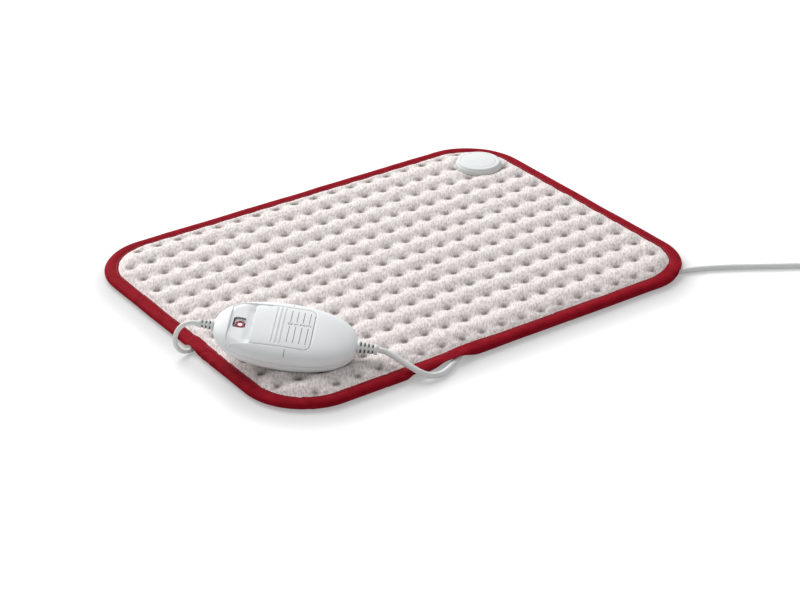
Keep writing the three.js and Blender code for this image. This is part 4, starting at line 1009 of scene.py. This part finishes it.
def underside_height(x, y):
    inside = field_inside(x, y)
    dimple = 1.7 * bell(tuft_distance(x, y), 4.5)
    slack = 0.25 * (1 + wobble(at_height(np.column_stack([x, y]), 0), 11.0, 2.2))
    height = 0.1 + dimple + slack
    height = lerp(1.75, height, smoothstep(inside, -0.3, 3.0))
    tucked = arched(height, lead_roof(x, y, BINDING_ARCH))
    open_part = np.maximum(height, lead_roof(x, y, 3.2))
    return lerp(tucked, open_part, smoothstep(inside, 0.0, 6.0))


def make_underside():
    sizes = [size + UNDERSIDE_TUCK for size in FIELD_SIZES]
    outer, _ = rounded_loop(*sizes, 3.0)
    hole = circle_loop(COUPLING, COUPLING_POCKET, 72)

    def keep(x, y, margin):
        from_coupling = np.hypot(x - COUPLING[0], y - COUPLING[1])
        return (rounded_distance(x, y, *sizes) < -margin) & (from_coupling > COUPLING_POCKET + margin)

    corner = np.array(sizes[:2])
    plan, faces = filled(outer, [hole], (-corner, corner), 3.1, 1.2, keep)
    height = underside_height(plan[:, 0], plan[:, 1])
    roof = lead_roof(plan[:, 0], plan[:, 1], BINDING_ARCH)
    upper = height + lerp(0.8, 0.25, roof / roof.max())
    count = len(plan)
    faces += [tuple(count + k for k in face[::-1]) for face in faces]
    for start, loop in ((0, outer), (len(outer), hole)):
        for k in range(len(loop)):
            here = start + k
            after = start + (k + 1) % len(loop)
            faces.append((here, after, count + after, count + here))
    shape = (np.vstack([at_height(plan, height), at_height(plan, upper)]), faces)
    cloth = make_piece("underside_cloth", shape, brushed_cloth, "wadding", "bottom_cover")


# Bound edge

def binding_profile():
    """The tape's closed section as (inset from the pad's edge, height), from its top inner edge outwards."""
    crest = BINDING_CREST
    half = BINDING_HEIGHT / 2
    top = [(12.9, 5.3), (13.1, 5.8), (12.9, 6.2), (12.3, 6.5), (11.5, 6.62), (10.9, 6.4), (10.4, 6.66)]
    top += [(9.2, 7.05), (7.4, 7.4)]
    angles = np.linspace(math.pi / 2, 1.5 * math.pi, 19)
    outside = [(crest * (1 + math.cos(a)), half * (1 + math.sin(a))) for a in angles]
    below = [(8.0, 0.0), (10.6, 0.05), (12.4, 0.1), (12.9, 0.5), (12.9, 1.1)]
    slot = [(8.0, 1.3), (5.0, 1.6), (BINDING_SLOT, 2.4), (BINDING_SLOT, 3.9), (5.0, 4.7), (8.0, 5.0)]
    return np.array(top + outside + below + slot)


# Where the tape is creased: a point of the pad's edge, the crease's slant and its depth
CREASES = (
    ((-220, -44), 0.9, 0.7),
    ((-220, -58), 1.2, 0.5),
    ((-196, -158), -0.8, 0.6),
    ((-120, -165), 0.7, 0.35),
    ((-220, 70), -0.9, 0.35),
    ((60, -165), -0.7, 0.3),
    ((190, -160), 0.8, 0.4),
)


def make_binding():
    edge, normals = rounded_loop(*PAD_SIZES, 2.0)
    _, lengths = lengths_along(edge)
    along = lengths[:-1]
    around = lengths[-1]
    inset, height = (np.repeat(column[None, :], len(edge), axis=0) for column in binding_profile().T)
    flat = at_height(edge, 0)
    outside = smoothstep(BINDING_CREST + 3.0 - inset, 0, 3.0)
    inset = inset + 0.45 * (1 + wobble(flat, 34.0, 4.4))[:, None] * outside
    height = height - 0.3 * (1 + wobble(flat, 21.0, 9.1))[:, None] * smoothstep(height, 4.8, 7.5)
    for place, slant, depth in CREASES:
        nearest = np.argmin(np.hypot(*(edge - np.array(place)).T))
        away = (along - along[nearest] + around / 2) % around - around / 2
        across = away[:, None] - slant * (inset - 6)
        fold = bell(across, 1.6) - 0.6 * bell(across - 3.4, 2.2)
        strength = depth * bell(away, 12.0)[:, None]
        height = height - strength * fold * smoothstep(height, 3.0, 6.0)
        inset = inset + strength * fold * outside
    x = edge[:, 0:1] - normals[:, 0:1] * inset
    y = edge[:, 1:2] - normals[:, 1:2] * inset
    roof = lead_roof(x.ravel(), y.ravel(), BINDING_ARCH).reshape(x.shape)
    rings = np.stack([x, y, np.maximum(arched(height, roof), 0.03)], axis=-1)
    make_piece("binding_tape", loft(rings, closed=True), crimson_tape, "binding", "edge_binding")


def make_stitches():
    """A row of thread stitches in the tape's seam groove."""
    edge, _ = rounded_loop(*(size - STITCH_INSET for size in PAD_SIZES), 0.5)
    closed, along = lengths_along(edge)
    count = int(along[-1] / STITCH_PITCH)
    shapes = []
    for k in range(count):
        spots = k * along[-1] / count + np.linspace(0, STITCH_SHARE * STITCH_PITCH, 5)
        x, y = (np.interp(spots, along, axis) for axis in closed.T)
        way = np.array([x[-1] - x[0], y[-1] - y[0]])
        side = np.array([-way[1], way[0]]) / np.linalg.norm(way)
        rings = []
        for i in range(len(spots)):
            bulge = math.sin(math.pi * (0.12 + 0.76 * i / 4))
            middle = np.array([x[i], y[i], STITCH_HEIGHT + 0.2 * bulge])
            radius = 0.14 + 0.16 * bulge
            ways = [np.array([*(side * math.cos(a)), math.sin(a)]) for a in angles_round(6)]
            rings.append([middle + radius * turn for turn in ways])
        shapes.append(loft(rings))
    make_piece("binding_stitches", joined(*shapes), crimson_thread, "binding")


# Controller, in the case's own frame: u along it, v across it and w up

def case_top_at(u, v):
    rest = np.maximum(1 - plan_measure(u, v) ** (HEIGHT_POWER / PLAN_POWER), 0)
    return CASE_TOP * rest ** (1 / HEIGHT_POWER)


def case_belly_at(u, v):
    return -CASE_BELLY / CASE_TOP * case_top_at(u, v)


def recess_floor_at(u, v):
    """The recess's floor: a flat panel round the window that falls towards the slider, then its track."""
    track = FLOOR_HEIGHT - FLOOR_DROP * (v / SLIDER_HALF) ** 2
    fall = FALL_DEPTH * smoothstep(u, FALL_START, SLIDER_LEFT) * (1 - smoothstep(np.abs(v), 15, 22))
    panel = np.minimum(PANEL_HEIGHT, case_top_at(u, v) - PANEL_SINK) - fall
    return lerp(panel, track, smoothstep(u, SLIDER_LEFT, SLIDER_LEFT + 4))


def slider_underside_at(u, v):
    """The slider's underside clears every part of the floor that it passes over."""
    shifts = np.linspace(0, SLIDER_TRAVEL, 31)
    return np.max([recess_floor_at(u - shift, v) for shift in shifts], axis=0) + 0.3


def recess_loop():
    points, normals = rounded_loop(*RECESS_SIZES, 0.8)
    return points + np.array([RECESS_U, 0]), normals


def window_loop(grow):
    points, normals = rounded_loop(*WINDOW_SIZES, 0.7)
    return points + normals * grow + np.array([WINDOW_U, 0])


def case_outline():
    """Where rays from the recess's middle through each point of its rim meet the case's outline."""
    middle = np.array([RECESS_U, 0])
    ways = recess_loop()[0] - middle
    low = np.zeros(len(ways))
    high = np.full(len(ways), 8.0)
    for _ in range(50):
        trial = (low + high) / 2
        inside = plan_measure(*(middle + ways * trial[:, None]).T) < 1
        low = np.where(inside, trial, low)
        high = np.where(inside, high, trial)
    return middle + ways * low[:, None]


def make_upper_shell():
    rim, normals = recess_loop()
    lip = rim + normals * RECESS_FILLET
    outline = case_outline()
    rings = []
    for share in np.linspace(1, 0, 40):
        spot = lerp(lip, outline, 1 - (1 - share) ** 3)
        rings.append(at_height(spot, np.maximum(case_top_at(*spot.T), PARTING_GAP)))
    lip_height = case_top_at(*lip.T)
    for angle in np.radians([25, 50, 75, 90]):
        spot = rim + normals * RECESS_FILLET * (1 - math.sin(angle))
        rings.append(at_height(spot, lip_height - RECESS_FILLET * (1 - math.cos(angle))))
    wall_top = lip_height - RECESS_FILLET
    for share in (0.5, 1.0):
        height = lerp(wall_top, recess_floor_at(*rim.T), share)
        rings.append(at_height(rim, np.minimum(height, wall_top)))
    slot = rounded_loop(*SLOT_SIZES, 1.0)[0] + np.array([SLOT_U, 0])

    def keep(u, v, margin):
        recess = rounded_distance(u - RECESS_U, v, *RECESS_SIZES)
        window = rounded_distance(u - WINDOW_U, v, *WINDOW_SIZES)
        track = rounded_distance(u - SLOT_U, v, *SLOT_SIZES)
        return (recess < -margin) & (window > margin) & (track > margin)

    corners = ((RECESS_LEFT, -RECESS_HALF), (RECESS_RIGHT, RECESS_HALF))
    plan, faces = filled(rim, [window_loop(0), slot], corners, 1.1, 0.6, keep)
    floor = (at_height(plan, recess_floor_at(*plan.T)), faces)
    shape = joined(loft(rings, caps=False), floor)
    make_piece("controller_top", shape, case_white, "case_plastic", "upper_shell", **SHELL)


def make_lower_shell():
    outline = case_outline()
    rings = []
    for share in np.linspace(0, 1, 26):
        spot = outline * lerp(BASE_SHARE, 1, 1 - (1 - share) ** 3)
        rings.append(at_height(spot, np.minimum(case_belly_at(*spot.T), -PARTING_GAP)))
    wells = [np.array([u, v]) for u in (-SCREW_U, SCREW_U) for v in (-SCREW_V, SCREW_V)]
    mouths = [circle_loop(well, WELL_RADIUS, 32) for well in wells]

    def keep(u, v, margin):
        clear = plan_measure(u, v) ** (1 / PLAN_POWER) < BASE_SHARE - margin / CASE_HALF_WIDTH
        for well in wells:
            clear &= np.hypot(u - well[0], v - well[1]) > WELL_RADIUS + margin
        return clear

    corner = np.array([CASE_HALF_LENGTH, CASE_HALF_WIDTH])
    plan, faces = filled(rings[0][:, :2], mouths, (-corner, corner), 1.8, 0.6, keep)
    shapes = [loft(rings, caps=False), (at_height(plan, case_belly_at(*plan.T)), faces)]
    for mouth, well in zip(mouths, wells):
        top = at_height(mouth, case_belly_at(*mouth.T))
        seat = at_height(mouth, WELL_TOP)
        bore = at_height(circle_loop(well, SCREW_BORE, 32), WELL_TOP)
        shapes.append(loft([top, seat, bore], caps=False))
    make_piece("controller_base", joined(*shapes), case_white, "case_plastic", "lower_shell", **SHELL)


def slider_top_at(u, v):
    """The slider's top: it follows the case, ramps down at its left end and carries the grip ridges."""
    height = case_top_at(u, v)
    low = slider_underside_at(u, v) + 0.6
    height = np.maximum(lerp(low, height, smoothstep(u, SLIDER_LEFT - 0.6, SLIDER_LEFT + RAMP_LENGTH)), low)
    for place in GRIP_PLACES:
        ridge = np.clip(1 - ((u - place) / GRIP_HALF) ** 2, 0, 1) ** 0.6
        along = (u - place - GRIP_HALF) / GROOVE_WIDTH
        groove = np.where((along > 0) & (along < 1), along, 0)
        shape = GRIP_HEIGHT * ridge - GROOVE_DEPTH * groove
        height = height + shape * smoothstep(GRIP_REACH - np.abs(v), 0, 0.8)
    return height


def slider_plan():
    """Rows of (u, v) points over the slider, closer together at its rim."""
    rim = np.array([0, 0.12, 0.3, 0.6, 1.0])
    length = SLIDER_RIGHT - SLIDER_LEFT
    places_v = np.concatenate([rim - SLIDER_HALF, np.linspace(-20.8, 20.8, 53), SLIDER_HALF - rim[::-1]])
    shares_u = np.concatenate([rim, np.linspace(1.3, length - 1.3, 180), length - rim[::-1]]) / length
    rows = []
    for v in places_v:
        over = max(abs(v) - (SLIDER_HALF - SLIDER_CORNER), 0)
        cut = SLIDER_CORNER - math.sqrt(max(SLIDER_CORNER ** 2 - over ** 2, 0))
        u = lerp(SLIDER_LEFT + cut, SLIDER_RIGHT - cut, shares_u)
        rows.append(np.column_stack([u, np.full(len(u), v)]))
    plan = np.array(rows)
    return plan[..., 0], plan[..., 1]


def make_slider():
    u, v = slider_plan()
    middle = (SLIDER_LEFT + SLIDER_RIGHT) / 2
    sizes = ((SLIDER_RIGHT - SLIDER_LEFT) / 2, SLIDER_HALF, SLIDER_CORNER)
    gone = np.clip(SLIDER_FILLET + rounded_distance(u - middle, v, *sizes), 0, SLIDER_FILLET)
    top = slider_top_at(u, v) - (SLIDER_FILLET - np.sqrt(SLIDER_FILLET ** 2 - gone ** 2))
    bottom = slider_underside_at(u, v)
    top = np.maximum(top, bottom + 0.2)
    # A narrow gap beside the slider's left part
    opening = smoothstep(u, -26.4, -24.6) * (1 - smoothstep(u, -14.4, -12.6))
    v = v - opening * smoothstep(v, SLIDER_HALF - 3, SLIDER_HALF)
    tall, wide = u.shape
    count = tall * wide
    faces = []
    for quad in grid_quads(wide, tall):
        faces.append(quad)
        faces.append(tuple(count + k for k in quad[::-1]))
    front = range(wide)
    right = range(2 * wide - 1, count, wide)
    back = range(count - 2, count - wide - 1, -1)
    left = range(count - 2 * wide, 0, -wide)
    border = [*front, *right, *back, *left]
    for here, after in zip(border, border[1:] + border[:1]):
        faces.append((here, count + here, count + after, after))
    plate = np.vstack([np.stack([u, v, w], axis=-1).reshape(-1, 3) for w in (top, bottom)])
    stem = rounded_loop(4.0, 1.5, 0.5, 1.0)[0] + np.array([STEM_U, 0])
    shape = joined((plate, faces), loft([at_height(stem, w) for w in (STEM_LOW, STEM_HIGH)]))
    looks = {"in_case": True, "sharp": 60}
    make_piece("slider_cover", shape, slider_white, "slider_plastic", "heat_slider", SLIDER_BODY, **looks)


# Printed marks

DIGITS = (
    [(0.5 + 0.4 * math.cos(a), 0.75 + 0.68 * math.sin(a)) for a in np.linspace(0, 2 * math.pi, 25)],
    [(0.2, 1.12), (0.4, 1.3), (0.55, 1.46), (0.55, 1.0), (0.55, 0.5), (0.55, 0.04)],
    [
        (0.1, 1.1), (0.2, 1.34), (0.5, 1.46), (0.8, 1.34), (0.87, 1.08),
        (0.72, 0.78), (0.4, 0.4), (0.1, 0.06), (0.5, 0.06), (0.92, 0.06),
    ],
    [
        (0.12, 1.28), (0.45, 1.46), (0.78, 1.32), (0.8, 1.06), (0.5, 0.82),
        (0.84, 0.62), (0.88, 0.3), (0.52, 0.04), (0.1, 0.2),
    ],
)


def ribbon(path, width, surface, lift=0.03):
    """A thin printed line along a path of (u, v) points, lying on a surface."""
    path = np.asarray(path, float)
    ways = np.gradient(path, axis=0)
    ways = ways / np.linalg.norm(ways, axis=1)[:, None]
    side = np.column_stack([-ways[:, 1], ways[:, 0]]) * width / 2
    plan = np.vstack([path + side, path - side])
    count = len(path)
    faces = [(i, i + 1, count + i + 1, count + i) for i in range(count - 1)]
    return at_height(plan, surface(*plan.T) + lift), faces


def across_case(u, start, end):
    return np.linspace((u, start), (u, end), 16)


def make_scale():
    """Scale lines and digits on the slider."""
    size = 2.4
    shapes = []
    for stage, digit in enumerate(DIGITS):
        u = SCALE_FIRST + stage * STAGE_PITCH
        for ends in ((18.6, 5.2), (0.2, -17.6)):
            shapes.append(ribbon(across_case(u, *ends), 0.54, slider_top_at))
        path = [(u - (y - 0.75) * size, 2.7 + (x - 0.5) * size) for x, y in digit]
        shapes.append(ribbon(path, 0.58, slider_top_at))
    looks = {"body": SLIDER_BODY, "in_case": True}
    make_piece("slider_scale", joined(*shapes), print_grey, "dark_plastic", **looks)


def make_index():
    """The two index ticks on the case, beside the slider."""
    shapes = [
        ribbon(across_case(SCALE_FIRST, start, end), width, case_top_at)
        for start, end, width in ((24.6, 28.0, 0.35), (-24.8, -30.6, 0.5))
    ]
    make_piece("case_index", joined(*shapes), print_grey, "dark_plastic", in_case=True)


def stacked(levels):
    """Window outlines of (growth, height), one above another, as a closed shape."""
    return loft([at_height(window_loop(grow), height) for grow, height in levels])


def oval(radius_u, radius_v):
    angles = np.linspace(0, 2 * math.pi, 49)
    return [(CARD_U + radius_u * math.cos(a), CARD_V + radius_v * math.sin(a)) for a in angles]


def make_window():
    """The clear window with a flange, a near-black sleeve round it as painted shade of the window's deep rim,
    and the lit 0 on a pale card.
    """
    flange = LENS_BOTTOM + LENS_FLANGE
    lens = stacked([
        (-0.6, LENS_TOP - LENS_WALL),
        (-0.6, LENS_BOTTOM),
        (1.2, LENS_BOTTOM),
        (1.2, flange - 0.2),
        (1.0, flange),
        (-0.3, flange),
        (-0.3, LENS_TOP - 0.35),
        (-0.4, LENS_TOP - 0.12),
        (-0.65, LENS_TOP),
    ])
    well = stacked([(-0.7, PLATE_TOP + 0.1), (-0.7, WELL_FLOOR)])
    # The grey face sits off-centre, so the dark well shows mostly along its -u and -v edges: a painted shadow
    # of the window's rim there
    face, _ = rounded_loop(WINDOW_HALF_U - 1.2, WINDOW_HALF_V - 1.4, WINDOW_CORNER - 0.8, 0.6)
    face = at_height(face + np.array([WINDOW_U + 0.8, 0.5]), WELL_FLOOR + 0.2)
    card = at_height(oval(4.4, 4.2)[:-1], WELL_FLOOR + 0.25)
    face, card = ((sheet, [tuple(range(len(sheet)))]) for sheet in (face, card))
    digit = ribbon(oval(3.05, 2.9), 2.4, lambda u, v: np.full(np.shape(u), WELL_FLOOR), 0.3)
    for name, shape, finish, slot, node, sharp in (
        ("window_glass", lens, clear_window, "clear_plastic", "window_lens", 60),
        ("window_shade_well", well, well_shade, "dark_plastic", None, 60),
        ("window_face", face, window_grey, "dark_plastic", None, None),
        ("window_card", card, plate_white, "slider_plastic", None, None),
        ("window_digit", digit, print_red, "lamp_red", None, None),
    ):
        make_piece(name, shape, finish, slot, node, in_case=True, sharp=sharp)


def relief_stations(length, root, tip, neck, ribs):
    """The sleeve from its neck outwards as (radius, place, cut): ribs with deep cuts between them."""
    start = CASE_HALF_LENGTH + 0.3
    stations = [(neck, 50.5, 0), (neck, start - 0.1, 0)]
    pitch = length / ribs
    for i in range(ribs):
        low = start + i * pitch
        radius = lerp(root, tip, i / (ribs - 1))
        edge = radius - RIB_SOFT
        last = i + 1 == ribs
        high = low + pitch if last else low + RIB_SHARE * pitch
        stations += [(edge, low, 0), (radius, low + RIB_SOFT, 0)]
        stations += [(radius, high - RIB_SOFT, 0), (edge, high, 0)]
        if not last:
            stations += [(edge, high + 0.05, 1), (edge, low + pitch - 0.05, 1)]
    return stations


def make_relief(name, node, side, *sizes):
    angles = angles_round(64)
    across = side * np.cos(angles)
    up = np.sin(angles)
    bar = smoothstep(np.abs(across * BAR_WAY[0] + up * BAR_WAY[1]), 0.93, 0.98)
    rings = []
    shades = []
    for radius, place, cut in relief_stations(*sizes):
        # Painted shade in the cuts, off the bars
        shade = cut * (1 - bar)
        ring = radius * lerp(1, CUT_SHARE, shade)
        rings.append(np.column_stack([np.full(len(ring), side * place), ring * across, ring * up]))
        shades.append(shade)
    looks = {"in_case": True, "sharp": 55}
    relief = make_piece(name, loft(rings), relief_white, "lead_plastic", node, **looks)
    paint(relief, "shade", np.concatenate(shades))
    return relief


# Coupling, tie and plug

def make_cap():
    profile = [
        (20.4, CAP_BOTTOM + 0.3), (20.7, CAP_BOTTOM), (21.6, CAP_BOTTOM), (CAP_RADIUS, CAP_BOTTOM + 0.4),
        (21.5, 12.2), (21.35, 12.7), (21.15, 13.0), (20.95, 13.15), (20.75, 13.25), (20.55, 13.5),
        (20.45, 14.0), (20.25, 14.5), (19.8, 14.88), (19.1, 15.08),
    ]
    for radius in np.linspace(18.4, 0.05, 30):
        ring = 0.4 * bell(radius - 16.6, 0.6)
        profile.append((radius, CAP_TOP - 0.8 * (radius / 19) ** 2 - ring))
    sides = 128
    points, faces = loft(turned(profile, sides), caps=False)
    faces.append(tuple(range(len(points) - sides, len(points))))
    shape = (points + np.array([*COUPLING, 0]), faces)
    make_piece("coupling_dome", shape, coupling_white, "case_plastic", "coupling_cap", sharp=60)


def make_tie():
    inner, normals = rounded_loop((TIE_OUTER - TIE_INNER) / 2, (TIE_HIGH - TIE_LOW) / 2, 2.0, 0.5)
    angle = math.radians(TIE_ANGLE)
    radial = np.array([math.cos(angle), math.sin(angle)])
    beside = np.array([-radial[1], radial[0]])
    section = [
        (0, -3.7), (0, 3.7), (0.12, 4.0), (0.38, 4.0),
        (0.5, 3.7), (0.5, -3.7), (0.38, -4.0), (0.12, -4.0),
    ]
    rings = []
    for depth, width in section:
        spot = inner + normals * depth
        plan = COIL + np.outer(spot[:, 0] + (TIE_INNER + TIE_OUTER) / 2, radial) + width * beside
        rings.append(at_height(plan, spot[:, 1] + (TIE_LOW + TIE_HIGH) / 2))
    return make_piece(
        "coil_strap", loft(rings, closed=True), dark_plastic, "dark_plastic", "coil_tie", sharp=60)


def make_plug():
    """The plug's body as a loft of soft rectangles from its tail to its face, and its two pins."""
    stations = [
        (0.0, 7.5, 7.5), (0.5, 9.8, 9.4), (1.4, 11.2, 10.6), (2.6, 11.6, 11.0), (2.9, 10.4, 9.8),
        (3.9, 10.4, 9.8), (4.2, 11.9, 11.2), (5.6, 12.0, 11.3), (5.9, 10.8, 10.1), (6.9, 10.8, 10.1),
        (7.2, 12.3, 11.5), (8.6, 12.5, 11.6), (8.9, 11.3, 10.4), (9.9, 11.3, 10.4), (10.2, 12.8, 11.8),
        (12.0, 13.4, 12.0), (14.0, 16.4, 12.2), (16.5, 21.6, 12.5), (19.0, 27.0, 12.8), (21.5, 31.0, 12.9),
        (24.0, 33.2, 13.0), (27.0, 34.0, 13.0), (31.0, 34.0, 13.0), (32.6, 33.6, 12.7), (33.5, 32.8, 12.0),
        (34.0, 31.4, 10.8),
    ]
    sides = 64
    angles = angles_round(sides)
    power = 2 / 3.6
    across, up = (np.sign(way) * np.abs(way) ** power / 2 for way in (np.cos(angles), np.sin(angles)))
    middle = PLUG_HEIGHT / 2
    rings = [
        np.column_stack([PLUG[0] + wide * across, np.full(sides, PLUG[1] - far), middle + tall * up])
        for far, wide, tall in stations
    ]
    pieces = [make_piece("plug_shell", loft(rings), lead_white, "lead_plastic", "plug_body", sharp=50)]
    profile = [(2.0, -0.2), (2.0, 18.0), (1.9, 18.5), (1.6, 18.85), (1.1, 19.0)]
    points, faces = loft(turned(profile, 32))
    x, y, z = points.T
    for name, shift in (("left", PIN_SPACING / 2), ("right", -PIN_SPACING / 2)):
        place = np.column_stack([PLUG[0] + shift + x, PLUG[1] - PIN_START - z, middle + y])
        pieces.append(make_piece(f"pin_{name}", (place, faces), steel, "steel", f"plug_pin_{name}", sharp=50))
    return pieces


bpy.context.scene.view_settings.view_transform = "Standard"
make_camera()
make_world(0.4)
make_floor(8.0, 0.32, 0.5, 1.6)
make_lamp("key", (0.0, 2.2, 2.0), 3.0, 110.0)
dress_nodes()

pad_lead = make_lead("controller_lead", pad_line, PAD_LEAD_DIAMETER)
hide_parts("pad_lead")
mains_lead = make_lead("supply_lead", mains_line, MAINS_LEAD_DIAMETER)
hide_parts("mains_lead", "mains_lead_coil", "mains_lead_tail")
pad_relief = make_relief("relief_to_pad", "pad_strain_relief", -1, 12.5, 4.3, 3.2, 3.2, 4)
mains_relief = make_relief("relief_to_mains", "mains_strain_relief", 1, 16.0, 5.5, 4.1, 4.2, 5)
tie = make_tie()
plug_pieces = make_plug()

make_quilt()
make_underside()
make_binding()
make_stitches()
make_upper_shell()
make_lower_shell()
make_slider()
make_scale()
make_index()
make_window()
make_cap()
